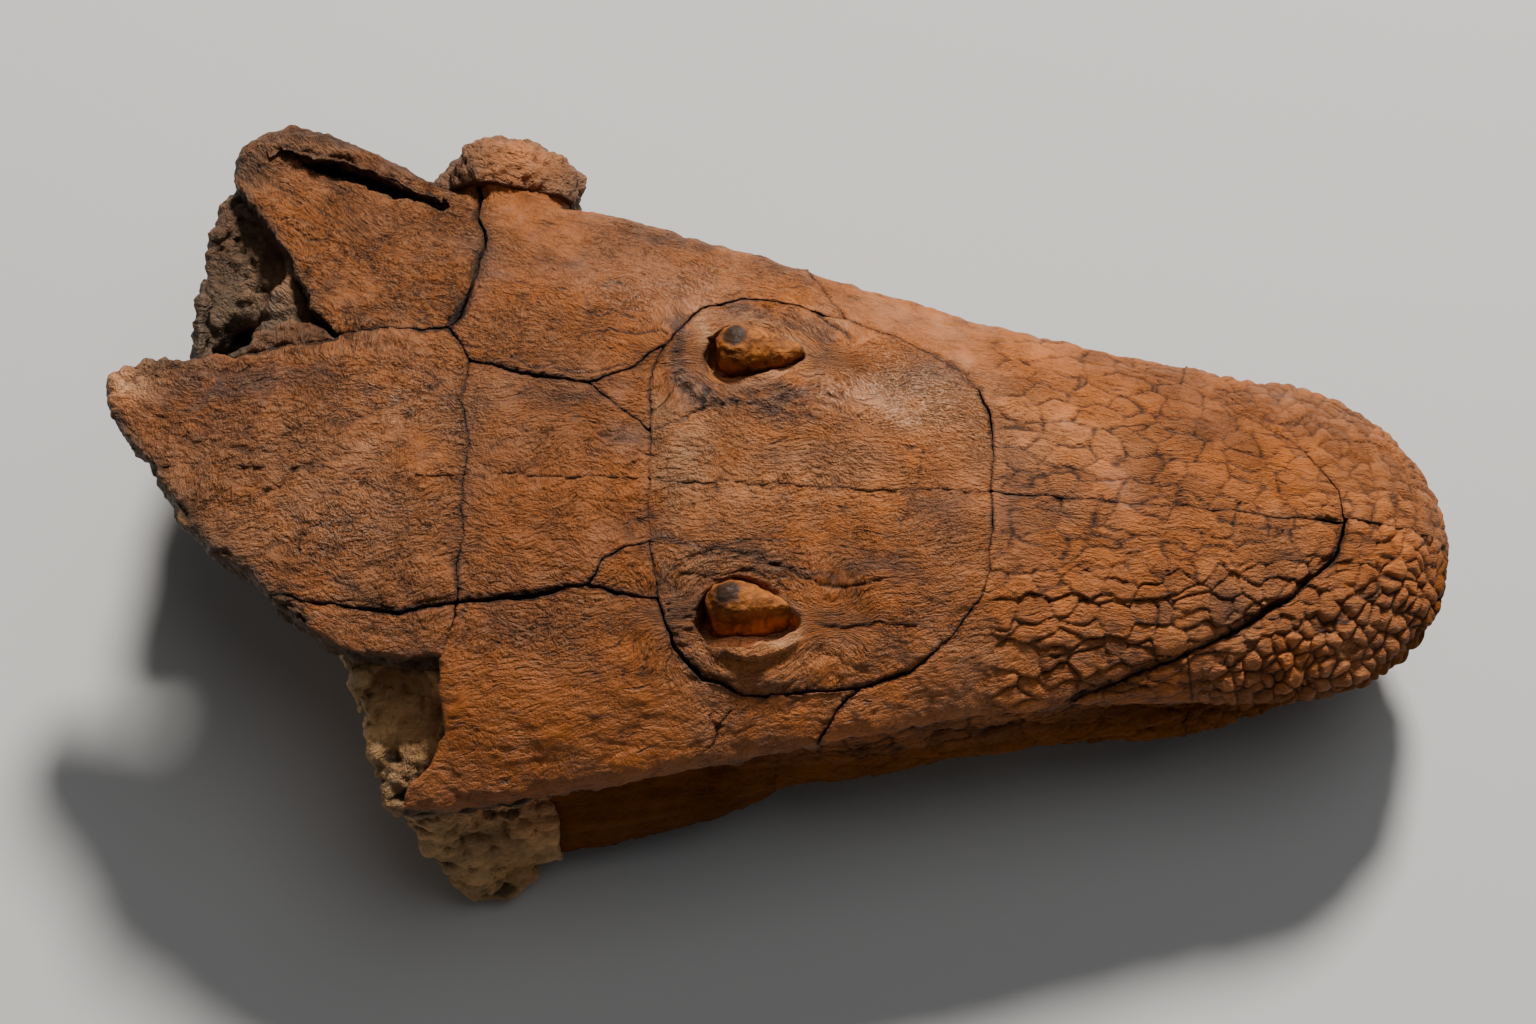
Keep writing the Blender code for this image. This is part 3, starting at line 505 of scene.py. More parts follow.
plates = {
    "far": {"size": (8.4, 4.2, 6.0), "depth": 0.36, "crack": 0.07, "dome": 0.12, "step": 0.12, "round": 0.25},
    "near": {"size": (6.0, 3.5, 3.8), "depth": 0.3, "crack": 0.07, "dome": 0.3, "step": 0.15, "round": 0.3},
    "pebble": {"size": (4.2, 3.5, 3.5), "depth": 0.16, "crack": 0.1, "dome": 1, "step": 0.35, "round": 0.55},
    "band": {"size": (8.0, 3.0, 3.0), "depth": 0.12, "crack": 0.06, "dome": 0.4, "step": 0.2, "round": 0.5},
}
shingle = 0.3
# The groove between the roof of the snout and its lip
grooveLine = [(97, 3), (96.8, -3), (95.8, -8), (92.2, -11.8), (79.8, -18.5), (66, -25), (52.5, -30.8)]
# Broken grains on the corner of the rear plate: place, size and height
grains = [(-118.6, 18.4, 1.9, 1.0), (-116.4, 20.2, 1.6, 1.1), (-113.4, 21.4, 1.9, 0.8),
          (-110.2, 21.6, 1.3, 0.7), (-118.2, 15.2, 1.7, 0.6), (-107.4, 21.6, 1.1, 0.5)]


def plateKind(q, kind, seed):
    look = plates[kind]
    first, second, away, own = cellsAt(q, look["size"], seed)
    edge = second - first
    split = fall(edge, look["crack"]) * ramp(noiseAt(q, 4.5, seed + 9), -0.6, 0.05)
    # the splits along the skull show more than those across it
    aside = np.abs(away[:, 1]) / np.maximum(np.abs(away[:, :2]).sum(1), 0.01)
    split *= 0.45 + 0.55 * ramp(aside, 0.2, 0.55)
    dome = np.sin(np.clip(edge / look["round"], 0, 1) * math.pi / 2) * 0.65
    dome = dome + np.clip(1 - (first / 0.75) ** 2, 0, 1) * 0.35
    lean = (own - 0.5) * away[:, 0] + (np.modf(own * 7)[0] - 0.5) * away[:, 1]
    height = look["dome"] * dome - look["depth"] * split + look["step"] * (own - 0.5 + 1.6 * lean)
    return height, split, own, away


def snoutPlates(p, name):
    # flat plates on the far side, overlapping scales on the near side, and the pebbles of the lips
    x, y = p[:, 0], p[:, 1]
    bend = np.hstack([noises(p, 7.0, 11), noises(p, 6.0, 12, 13)]) * 0.9 + noises(p, 2.2, 14, 15, 16) * 0.3
    q = (p + bend) / np.interp(x, [35, 95, 119], [1.1, 0.85, 0.85])[:, None].astype(np.float32)
    onLip = np.full(len(p), 1.0 if "axilla" in name else 0.0, np.float32)
    # a smoother band runs along the groove, before the pebbles begin
    front = ramp(x, 66, 80) * onLip * ramp(nearLine(p, grooveLine, 8.0), 2.5, 5.5)
    raised = ramp(-y + (x - 40) * 0.16, 11, 19)
    weights = {"far": (1 - onLip) * (1 - raised), "near": (1 - onLip) * raised, "pebble": front,
               "band": onLip * (1 - front)}
    height, split, own = zeros(p), zeros(p), zeros(p)
    for seed, (kind, weight) in enumerate(weights.items()):
        used = weight > 0.01
        if not used.any():
            continue
        h, s, o, away = plateKind(q[used], kind, 40 + seed)
        if kind in ("near", "band"):
            h = h - shingle * away[:, 1] * plates[kind]["size"][1] * 0.4
        height[used] += h * weight[used]
        split[used] += s * weight[used]
        own[used] += (o - 0.5) * weight[used]
    height *= 1 - 0.35 * onLip * ramp(y, -12, 4)
    split *= 1 - 0.2 * onLip * ramp(y, 0, 8)
    fade = ramp(x, 33.5, 38.5) if "nasal" in name else ramp(x, 2, 12)
    return height * fade, split * fade, own * fade


def skinRelief(p, grain, up, name):
    # height of the surface above the plain solid, in mm, and what the colours need to know
    x, y, z = p[:, 0], p[:, 1], p[:, 2]
    r = relief
    much = foldWords.get(name.split("_")[0], 1.0)
    height = r["swell"] * (1 - 0.5 * ramp(x, 36, 46)) * noiseAt(p, r["swellScale"], 1)
    height = height + much * r["lump"] * layered(p, r["lumpScale"], 2, 2)
    socketNear = zeros(p)
    for sx, sy in sockets:
        around = np.hypot((x - sx - 2) / 1.35, y - sy)
        socketNear = np.maximum(socketNear, ramp(-around, -16, -9) * ramp(around, 6, 8))
    plain = 1 - 0.75 * ramp(x, 36, 44)
    fold = creasesAt(grain, r["foldScale"], 21, r["foldEdge"]) * ramp(noiseAt(p, 6.0, 26), -0.45, 0.25)
    height -= fold * (much * r["fold"] * plain + r["socketFold"] * socketNear)
    crease = creasesAt(grain, r["creaseScale"], 27, r["creaseEdge"]) * ramp(noiseAt(p, 3.6, 28), -0.3, 0.3)
    height -= crease * r["crease"] * (0.35 + 0.65 * plain) * much
    fibre = r["fibre"] * plain * (1.1 + 0.8 * noiseAt(p, 8.0, 22)) * much
    height += fibre * layered(grain, r["fibreScale"], 23, 2)
    height += stainAt(p, "violet") * r["crumble"] * layered(grain, r["crumbleScale"], 38, 3)
    height += r["grit"] * (1 + ramp(x, 34, 42)) * layered(p, r["gritScale"], 24, 2)
    # long ridges on the shaded flank of the near jaw, and on the near cheek
    flank = ramp(-z, -41, -35) * ramp(-y, 4, 12)
    height += r["flankRidge"] * noiseAt(p, r["flankRidgeScale"], 39) * flank
    cheek = ramp(-y, 36, 44) * ramp(-x, -6, 8)
    height -= r["cheekRidge"] * cheek * creasesAt(grain, r["cheekRidgeScale"], 25, r["cheekRidgeEdge"])
    split, own, dark = zeros(p), zeros(p), zeros(p)
    if any(word in name for word in ("nasal", "axilla")):
        h, split, own = snoutPlates(p, name)
        height += h
    bent = p[:, :2] + (noises(p, 2.6, 31, 32) * 0.55 + noises(p, 0.9, 33, 34) * 0.25)
    top = ramp(up, 0.1, 0.5)
    for half, depth, darkness, line in cracks:
        away = nearLine(bent, line, 4.0)
        groove = fall(away, half * (1 + 0.5 * noiseAt(p, 4.0, 35))) * top
        height -= depth * groove
        dark = np.maximum(dark, groove * darkness)
    if name == "squamosal_left":
        wall = ramp(-nearLine(p, slotLine, 9.0), -7, -2)
        height += wall * r["slotWall"] * layered(p, r["slotWallScale"], 36, 3)
    return height, split, own, dark


def livelyOf(p, word):
    # the share of the fine texture that shows, which varies from bone to bone and from place to place
    x, y = p[:, 0], p[:, 1]
    share = 1 - 0.5 * ramp(-y, 28, 36) * ramp(-x, 12, 18) - 0.12 * ramp(y, 24, 34)
    return share * livelyWords.get(word, 1.0) * (1 + 0.6 * noiseAt(p, 9.0, 92) + 0.4 * noiseAt(p, 3.5, 93))


def tornAt(p):
    # 1 in the torn hollows of the broken inside, 0 beside them
    return ramp(layered(p, (7.0, 5.0, 4.0), 55, 4), 0.5, 0.9)


def lumpOf(first):
    return np.clip(1 - (first / 0.8) ** 2, 0, 1)


def crumbRelief(p):
    # the broken inside of the bone: crumbs of every size, and torn hollows
    torn = tornAt(p)
    return 0.75 * layered(p, (5.0, 4.0, 4.0), 64, 4) + 0.3 * layered(p, 1.7, 65, 2) - 0.8 * torn, torn


def stoneRelief(p):
    # rugged lumps, and torn hollows between them
    bend = noises(p, 2.2, 56, 57, 58) * 1.1
    first, second, away, own = cellsAt(p + bend, (4.6, 3.8, 3.4), 59)
    small = cellsAt(p + bend * 0.6, (1.9, 1.7, 1.6), 53)[0]
    height = 0.8 * layered(p, 8.0, 51, 3) + lumpOf(first) + 0.5 * (own - 0.5)
    height += 0.45 * layered(p, 1.9, 52, 2) + 0.45 * lumpOf(small)
    torn = tornAt(p)
    return np.maximum(height - 1.1 * torn, -1.6), torn, own


print("shapes of the sockets, the pegs and the broken rear")

# How far the walls of a socket lean out or in and its floor rises, in mm, and how the slope below the near
# socket is filled
socketLook = {
    "x": -6.5, "reach": 8.5, "middle": 0.6, "halfX": 9.6, "halfY": 7.4, "bottom": 50.2, "rim": (53, 60),
    "wall": (0.5, 3.5), "wallEnd": (-12, -5), "deep": (-59.5, -54.0),
    "slope": (-4, -33.6, 10, 2.8), "slopeLift": 1.3, "well": (-5.5, -0.2, 10.0, 6.4),
    "near": {"outFar": 1.4, "outNear": 0.8, "inNear": 0.4, "floor": 4.6},
    "far": {"outFar": 0.6, "outNear": 0.7, "inNear": 1.4, "floor": 4.2},
}


def shapeSockets(p):
    # the far wall of each socket makes room for the peg, and the near one leans out and has a raised floor
    s = socketLook
    for sx, sy in sockets:
        look = s["far" if sy > 0 else "near"]
        dy = p[:, 1] - sy - s["middle"]
        along = fall(p[:, 0] - s["x"], s["reach"])
        high = ramp(p[:, 2], *s["rim"])
        farSide, nearSide = (ramp(d, *s["wall"]) * ramp(-d, *s["wallEnd"]) for d in (dy, -dy))
        inside = (np.hypot((p[:, 0] - sx) / s["halfX"], dy / s["halfY"]) < 1) & (p[:, 2] > s["bottom"])
        low = inside * nearSide * ramp(-p[:, 2], *s["deep"])
        p[:, 1] += along * (look["outFar"] * farSide * (0.4 + 0.6 * high) - look["outNear"] * nearSide * high)
        p[:, 1] += low * look["inNear"]
        p[:, 2] += low * look["floor"] * along
    p[:, 2] += s["slopeLift"] * spotAt(p, *s["slope"]) * (p[:, 2] > 50)
    return p


def wellOf(p):
    # 1 on the walls inside a socket, 0 outside it
    total = zeros(p)
    x, y, halfX, halfY = socketLook["well"]
    for sx, sy in sockets:
        around = np.hypot((p[:, 0] - x) / halfX, (p[:, 1] - sy - y) / halfY)
        total = np.maximum(total, ramp(-around, -1.0, -0.8) * ramp(-p[:, 2], -60.0, -58.4) * (p[:, 2] > 50))
    return total


pegLook = {"bulbX": -8.6, "bulbLift": 1.5, "bulbReach": 6.0, "tipLift": 1.3, "step": 0.5, "stepX": 4.4,
           "stepReach": 0.8, "capX": -10.0, "capReach": 2.9,
           "near": {"ahead": 1.24, "behind": 1.22, "girth": 0.93, "aside": 2.85, "capY": 3.2},
           "far": {"ahead": 1.28, "behind": 1.05, "girth": 1.06, "aside": 0.7, "capY": 1.9}}


def pegSide(p):
    # how this peg is shaped, and where its middle runs
    side = np.sign(p[:, 1].mean())
    return pegLook["far" if side > 0 else "near"], side * sockets[0][1] + 0.6


def shapePeg(p):
    # lifts the bulb at the rear of the peg and draws the tip out to the front of its socket
    look, middle = pegSide(p)
    ahead = p[:, 0] - pegLook["bulbX"]
    above = ramp(p[:, 2], 52.5, 58)
    bulb = fall(ahead, pegLook["bulbReach"])
    p[:, 2] += above * (pegLook["bulbLift"] * bulb + pegLook["tipLift"] * ramp(ahead, 3, 9))
    p[:, 0] += above * ahead * (np.where(ahead > 0, look["ahead"], look["behind"]) - 1)
    p[:, 1] += look["aside"] * (0.4 + 0.6 * above) + above * (p[:, 1] - middle) * (look["girth"] - 1)
    # a step between the bulb and the cone
    step = fall(ahead - pegLook["stepX"] - 0.3 * (p[:, 1] - middle), pegLook["stepReach"])
    p[:, 2] -= pegLook["step"] * above * step
    return p


def capOf(p):
    # the dark glossy end, on top of the bulb and towards its rear
    look, middle = pegSide(p)
    away = np.hypot(p[:, 0] - pegLook["capX"], p[:, 1] - middle - look["capY"]) + 0.35 * noiseAt(p, 1.6, 91)
    return ramp(-away, -pegLook["capReach"], -pegLook["capReach"] + 1.3) * ramp(p[:, 2], 57, 59)


# The hollow behind the squamosal, the corner of its rim, and the dark hole beside the loose fragment
oticLook = {"hollow": (-96, 44, 9, 13), "hollowLift": 7.0, "corner": (-101, 32, 6, 5.5), "cornerX": 3.5,
            "cornerY": 6.5, "hole": (-97, 34, 3.6, 2.6), "holeDepth": 15.0, "rear": -105.4, "rearShare": 0.2}
# painted shade: the hole is also painted dark
holeLook = {"pieces": ("otic_block_left", "loose_fragment_left"), "dark": 1.2,
            "place": (-99.4, 30.2, 4.4, 2.8)}
fragmentLook = {"y": 28, "share": 0.75, "aside": 1.3}


def shapeOtic(p):
    # lifts the floor of the hollow, and draws out the rim round the dark hole beside it
    look = oticLook
    before = p.copy()
    p[:, 2] += look["hollowLift"] * spotAt(before, *look["hollow"]) * ramp(p[:, 2], 30, 40)
    corner = spotAt(before, *look["corner"])
    p[:, 0] -= look["cornerX"] * corner
    p[:, 1] -= look["cornerY"] * corner
    p[:, 2] -= look["holeDepth"] * spotAt(before, *look["hole"]) * ramp(p[:, 2], 30, 40)
    rear = look["rear"]
    p[:, 0] = np.where(p[:, 0] < rear, rear + (p[:, 0] - rear) * look["rearShare"], p[:, 0])
    return p


def shapeFragment(p):
    # makes the loose fragment narrower and moves it to the plate beside it
    look = fragmentLook
    narrow = look["y"] + (p[:, 1] - look["y"]) * look["share"]
    p[:, 1] = np.where(p[:, 1] > look["y"], narrow, p[:, 1]) - look["aside"]
    return p


def shutSlot(p):
    # narrows the slot along the squamosal: its far wall slopes down to it, and its front end closes
    xs, ys = zip(*slotLine)
    slope = np.array((xs[-1] - xs[0], ys[-1] - ys[0]), np.float32)
    slope /= np.linalg.norm(slope)
    aside = np.array((-slope[1], slope[0]), np.float32)
    away = nearLine(p, slotLine, 6.0)
    side = np.sign(p[:, 1] - np.interp(p[:, 0], xs, ys))
    near = ramp(-away, -3.6, -1.2) * ramp(p[:, 2], 46, 50)
    wall = np.where(side > 0, 0.9 + 1.2 * ramp(-p[:, 2], -56.5, -50), 0.5)
    front = ramp(p[:, 0], -74, -69)
    much = near * np.clip(wall + 0.35 * noiseAt(p, 7.0, 37) + 1.2 * front, 0, 3)
    shift = (np.maximum(away - much, np.minimum(away, 0.12)) - away) * side
    p[:, :2] += shift[:, None] * aside
    return p


shapesOf = {"peg_left": shapePeg, "peg_right": shapePeg, "otic_block_left": shapeOtic,
            "squamosal_left": shutSlot, "loose_fragment_left": shapeFragment}

print("bones from the solids")

# The gap between two solids, how far a joint is looked for, where the open surface begins, and how far the
# edges of a joint follow it when it gapes, in mm
gapLook = {"width": 0.3, "reach": 4.0, "free": 0.45, "follow": 0.9}
solids = {}
for nodeName, node in nodes.items():
    bm = bmesh.new()
    bm.from_mesh(node.data)
    bmesh.ops.remove_doubles(bm, verts=bm.verts[:], dist=2e-6)
    solids[nodeName] = bm


def neighboursOf(name):
    # one search tree over all the other solids, and the name that each of its faces belongs to
    verts, faces, owners = [], [], []
    for other, bm in solids.items():
        if other == name:
            continue
        start = len(verts)
        bm.verts.index_update()
        verts += [v.co for v in bm.verts]
        for face in bm.faces:
            faces.append([v.index + start for v in face.verts])
            owners.append(other)
    return BVHTree.FromPolygons(verts, faces), owners


def fineMesh(name, voxel):
    # an even fine skin over the solid
    mesh = bpy.data.meshes.new("plain_" + name)
    solids[name].to_mesh(mesh)
    plain = placed("plain_" + name, mesh)
    skin = plain.modifiers.new("skin", "REMESH")
    skin.mode = "VOXEL"
    skin.voxel_size = voxel * mm
    skin.adaptivity = 0
    bpy.context.view_layer.update()
    made = bpy.data.meshes.new_from_object(plain.evaluated_get(bpy.context.evaluated_depsgraph_get()))
    bpy.data.objects.remove(plain)
    bpy.data.meshes.remove(mesh)
    made.name = name + "_bone"
    return made


def meshArray(items, key, width, kind=np.float32):
    out = np.zeros(len(items) * width, kind)
    items.foreach_get(key, out)
    return out.reshape(-1, width)


class Spread:
    # averages values over each point's neighbours
    def __init__(self, mesh, count):
        edges = meshArray(mesh.edges, "vertices", 2, np.int32)
        self.a, self.b, self.count = edges[:, 0], edges[:, 1], count
        self.links = np.maximum(np.bincount(edges.ravel(), minlength=count), 1).astype(np.float32)

    def mean(self, values, rounds=1):
        if values.ndim > 1:
            columns = [np.ascontiguousarray(values[:, k]) for k in range(values.shape[1])]
            return np.stack([self.mean(column, rounds) for column in columns], 1)
        a, b, count = self.a, self.b, self.count
        for _ in range(rounds):
            total = np.bincount(a, values[b], count) + np.bincount(b, values[a], count)
            values = (total / self.links).astype(np.float32)
        return values


def nearestOthers(points, name):
    # distance in mm to the nearest other solid, the place there, and the number of its name
    tree, owners = neighboursOf(name)
    far = np.full(len(points), gapLook["reach"], np.float32)
    place = np.zeros((len(points), 3), np.float32)
    who = np.full(len(points), -1, np.int32)
    names = sorted(solids)
    number = {other: i for i, other in enumerate(names)}
    for i, point in enumerate(points):
        found, normal, face, distance = tree.find_nearest(point, gapLook["reach"] * mm)
        if face is not None:
            far[i], place[i], who[i] = distance / mm, found, number[owners[face]]
    return far, place, who, names


def setAttribute(mesh, name, values, kind="FLOAT"):
    layer = mesh.attributes.new(name, kind, "POINT")
    flat = np.ascontiguousarray(values, np.float32).ravel()
    layer.data.foreach_set("value" if kind == "FLOAT" else "vector", flat)


# How fast the facets melt: in general, less where the solid is broken, and least in the sockets; then the
# rounds of smoothing, and how much of a push each round takes on into a joint
smoothLook = {
    "ease": 0.6, "brokenEase": 0.55, "socketEase": 0.1, "brokenUp": 0.55, "brokenX": -56,
    "socketStretch": 1.3, "socketReach": 9.5, "normalRounds": 3, "levelRounds": 12,
    "sharp": 0.6, "sharpRounds": 25, "sharpEase": 0.6, "hiddenRounds": 60, "hiddenShare": 0.985,
}


def melted(p, mesh, spread, free, look):
    # melts the facets of the solid, with the faces inside the joints held still
    s = smoothLook
    normal = meshArray(mesh.vertex_normals, "vector", 3)
    away = [np.hypot((p[:, 0] - sx) / s["socketStretch"], p[:, 1] - sy) for sx, sy in sockets]
    still = (np.minimum(*away) < s["socketReach"]) & (look["kind"] == "skin")
    broken = ((np.abs(normal[:, 2]) < s["brokenUp"]) & (p[:, 0] < s["brokenX"])).astype(np.float32)
    broken = spread.mean(broken, s["normalRounds"])
    ease = np.where(still, s["socketEase"], s["ease"] - s["brokenEase"] * ramp(broken, 0.15, 0.6))
    ease = ease.astype(np.float32)[free, None]
    for _ in range(look["melt"]):
        p[free] += (spread.mean(p)[free] - p[free]) * ease
    return p, np.linalg.norm(spread.mean(normal, s["normalRounds"]), axis=1) < s["sharp"]


def jointEdges(p, far, who, names, name):
    # how far each point follows its joint's gape, how far it sinks beside it, and how dark it is
    gape, sink, dark = zeros(p), zeros(p), zeros(p)
    past = np.maximum(far - gapLook["width"], 0)
    follow = fall(past, gapLook["follow"])
    for number in np.unique(who[who >= 0]):
        here = who == number
        jointGape, jointSink, width, darkness = jointOf(name, names[number])
        gape[here] = jointGape * follow[here]
        sink[here] = jointSink * fall(past[here], width)
        dark[here] = darkness * fall(past[here], 0.4 * width + 0.12)
    dark *= 0.45 + 0.55 * ramp(noiseAt(p, 2.4, 77), -0.4, 0.1)
    for *place, moreGape, moreSink in openings:
        wide = spotAt(p, *place) * (who >= 0)
        gape += wide * moreGape * follow
        sink += wide * moreSink * fall(past, 0.5)
        dark = np.maximum(dark, wide * fall(past, 0.35))
    return gape, sink, dark


def surfaceOf(p, grain, up, name, look):
    # height of the surface in mm, and where it is split, varied, cracked, and broken open to the rough inside
    if look["kind"] == "stone":
        height, torn, own = stoneRelief(p)
        # painted shade: the torn hollows of the stone are painted dark as splits and cracks
        return height, torn * 0.7, own, torn * 0.4, zeros(p) + 1
    if look["kind"] == "rust":
        height = relief["rust"] * layered(p, relief["rustScale"], 61, 3)
        return height, zeros(p), zeros(p), zeros(p), zeros(p)
    height, split, own, cracksAndShade = skinRelief(p, grain, up, name)
    rear = ramp(-up, -0.45, -0.1) * ramp(-p[:, 0], 54, 62)
    raw = np.maximum(np.maximum(rear, ramp(-up, 0.1, 0.5)), look.get("raw", 0))
    raw = np.maximum(raw, patchAt(p, "worn") * ramp(up, -0.2, 0.2))
    crumbs, torn = crumbRelief(p)
    height = height * (1 - raw) + crumbs * look.get("stony", 1.0) * raw
    if name == "parietal_left":
        for gx, gy, size, rise in grains:
            away = np.hypot(p[:, 0] - gx, p[:, 1] - gy) / size
            height += rise * np.sqrt(np.clip(1 - away * away, 0, 1))
    # painted shade: torn hollows of the rough inside are painted dark along with the cracks
    return height, split, own, np.maximum(cracksAndShade, torn * raw * 0.6), raw


def makePiece(name, look):
    kind = look["kind"]
    mesh = fineMesh(name, look["voxel"])
    co = meshArray(mesh.vertices, "co", 3)
    far, place, who, names = nearestOthers(co, name)
    towards = (place - co) / np.maximum(far, 0.01)[:, None] / mm
    towards[who < 0] = 0
    p = co / mm
    p[:, 0] -= midline["shiftX"]
    p[:, 1] -= midline["shiftY"]
    spread = Spread(mesh, len(p))
    free = far > gapLook["free"]
    p, sharp = melted(p, mesh, spread, free, look)
    if kind == "skin":
        p = shapeSockets(p)
    if name in shapesOf:
        p = shapesOf[name](p)
    if kind == "stone":
        for _ in range(smoothLook["sharpRounds"]):
            p[sharp] += (spread.mean(p)[sharp] - p[sharp]) * smoothLook["sharpEase"]
    mesh.vertices.foreach_set("co", (p * mm).ravel())
    mesh.update()
    normal = spread.mean(meshArray(mesh.vertex_normals, "vector", 3), smoothLook["normalRounds"])
    size = np.linalg.norm(normal, axis=1)
    steady = ramp(size, 0.7, 0.97)
    normal /= np.maximum(size, 0.001)[:, None]
    up = normal[:, 2]
    grain = grainOf(p)
    well = wellOf(p) * (kind == "skin")
    gape, sink, dark = jointEdges(p, far, who, names, name)
    if kind == "stone":
        sink *= 0.5
    if kind == "rust":
        setAttribute(mesh, "cap", capOf(p))
    height, split, own, cracksAndShade, raw = surfaceOf(p, grain, up, name, look)
    # painted shade: the hole beside the loose fragment is painted dark
    if name in holeLook["pieces"]:
        hole = spotAt(p, *holeLook["place"])
        cracksAndShade = np.maximum(cracksAndShade, holeLook["dark"] * hole)
    level = spread.mean(height, smoothLook["levelRounds"])
    # painted shade in the hollows of the relief and painted light on its bumps, but none inside the sockets
    hollow = np.clip((level - height) / look["shade"], -1, 1) * (1 - well)
    height = height * (0.2 + 0.35 * raw + (0.8 - 0.35 * raw) * steady)
    push = normal * (height * look["relief"] - sink)[:, None] - towards * gape[:, None]
    # the faces inside a joint follow its edges and come to rest further in
    hidden = ~free
    push[hidden] = 0
    for _ in range(smoothLook["hiddenRounds"]):
        push[hidden] = spread.mean(push)[hidden] * smoothLook["hiddenShare"]
    closing = hidden & (gape < 0)
    push[closing] -= towards[closing] * gape[closing, None]
    # every joint wiggles by the same sideways wander, and the feet stay flat on the floor
    wander = noises(p, relief["wanderScale"], 71, 72) * relief["wander"]
    wander += noises(p, relief["waverScale"], 73, 74) * relief["waver"]
    standing = ramp(p[:, 2], 0.2, 3.0)[:, None]
    moved = p + push * standing
    moved[:, :2] += wander * standing
    moved[:, 2] = np.maximum(moved[:, 2], 0.0)
    bent = p[:, :2] + noises(p, 5.0, 81, 82) * 2.2
    tone, flank = toneAndPaintedLightOf(p, kind, well)
    shown = {word: patchAt(bent, word) * ramp(up, -0.2, 0.3)
             for word in ("violet", "pale", "orange", "dark", "shine")}
    # painted light: the walls inside the sockets are painted pale
    shown["pale"] = np.maximum(shown["pale"], 0.8 * well)
    shown.update({
        "seam": np.clip(np.maximum(dark, cracksAndShade), 0, 1), "split": split, "own": own, "hollow": hollow,
        "raw": raw, "lively": np.maximum(livelyOf(p, name.split("_")[0]), raw), "tone": tone, "flank": flank,
        "far": np.maximum(ramp(p[:, 1], -20, 24), float(kind == "skin")),
        "mottled": 1 - 0.75 * ramp(p[:, 0], 32, 44),
    })
    for word, values in shown.items():
        setAttribute(mesh, word, values)
    setAttribute(mesh, "grain", grain, "FLOAT_VECTOR")
    moved[:, 0] += midline["shiftX"]
    moved[:, 1] += midline["shiftY"]
    mesh.vertices.foreach_set("co", np.ascontiguousarray(moved * mm, np.float32).ravel())
    mesh.update()
    mesh.shade_smooth()
    made = placed(name + "_bone", mesh)
    mesh.materials.append(finishes[kind])
    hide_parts(name)
    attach(made, "root")
    mesh.calc_loop_triangles()
    print(f"  {name}: {len(mesh.loop_triangles)} triangles, {time.time() - began:.0f} s")
    return len(mesh.loop_triangles)


print("finishes")

# Colours of the bone; the one for the near flank is painted shade and the colour of the glints is a painted
# highlight
boneLook = {
    "tan": (0.43, 0.147, 0.043), "orange": (0.5, 0.13, 0.008), "brown": (0.12, 0.036, 0.008),
    "violet": (0.095, 0.049, 0.035), "pale": (0.54, 0.275, 0.135), "dark": (0.022, 0.009, 0.004),
    "stone": (0.40, 0.225, 0.09), "stonePale": (0.56, 0.35, 0.16), "stoneGrey": (0.085, 0.054, 0.034),
    "stoneDark": (0.05, 0.032, 0.018), "flank": (0.16, 0.05, 0.002), "paintedGlint": (0.9, 0.52, 0.32),
    "roughness": 0.55,
}
rustLook = {"rust": (0.40, 0.125, 0.018), "deep": (0.13, 0.036, 0.006), "cap": (0.014, 0.01, 0.008)}


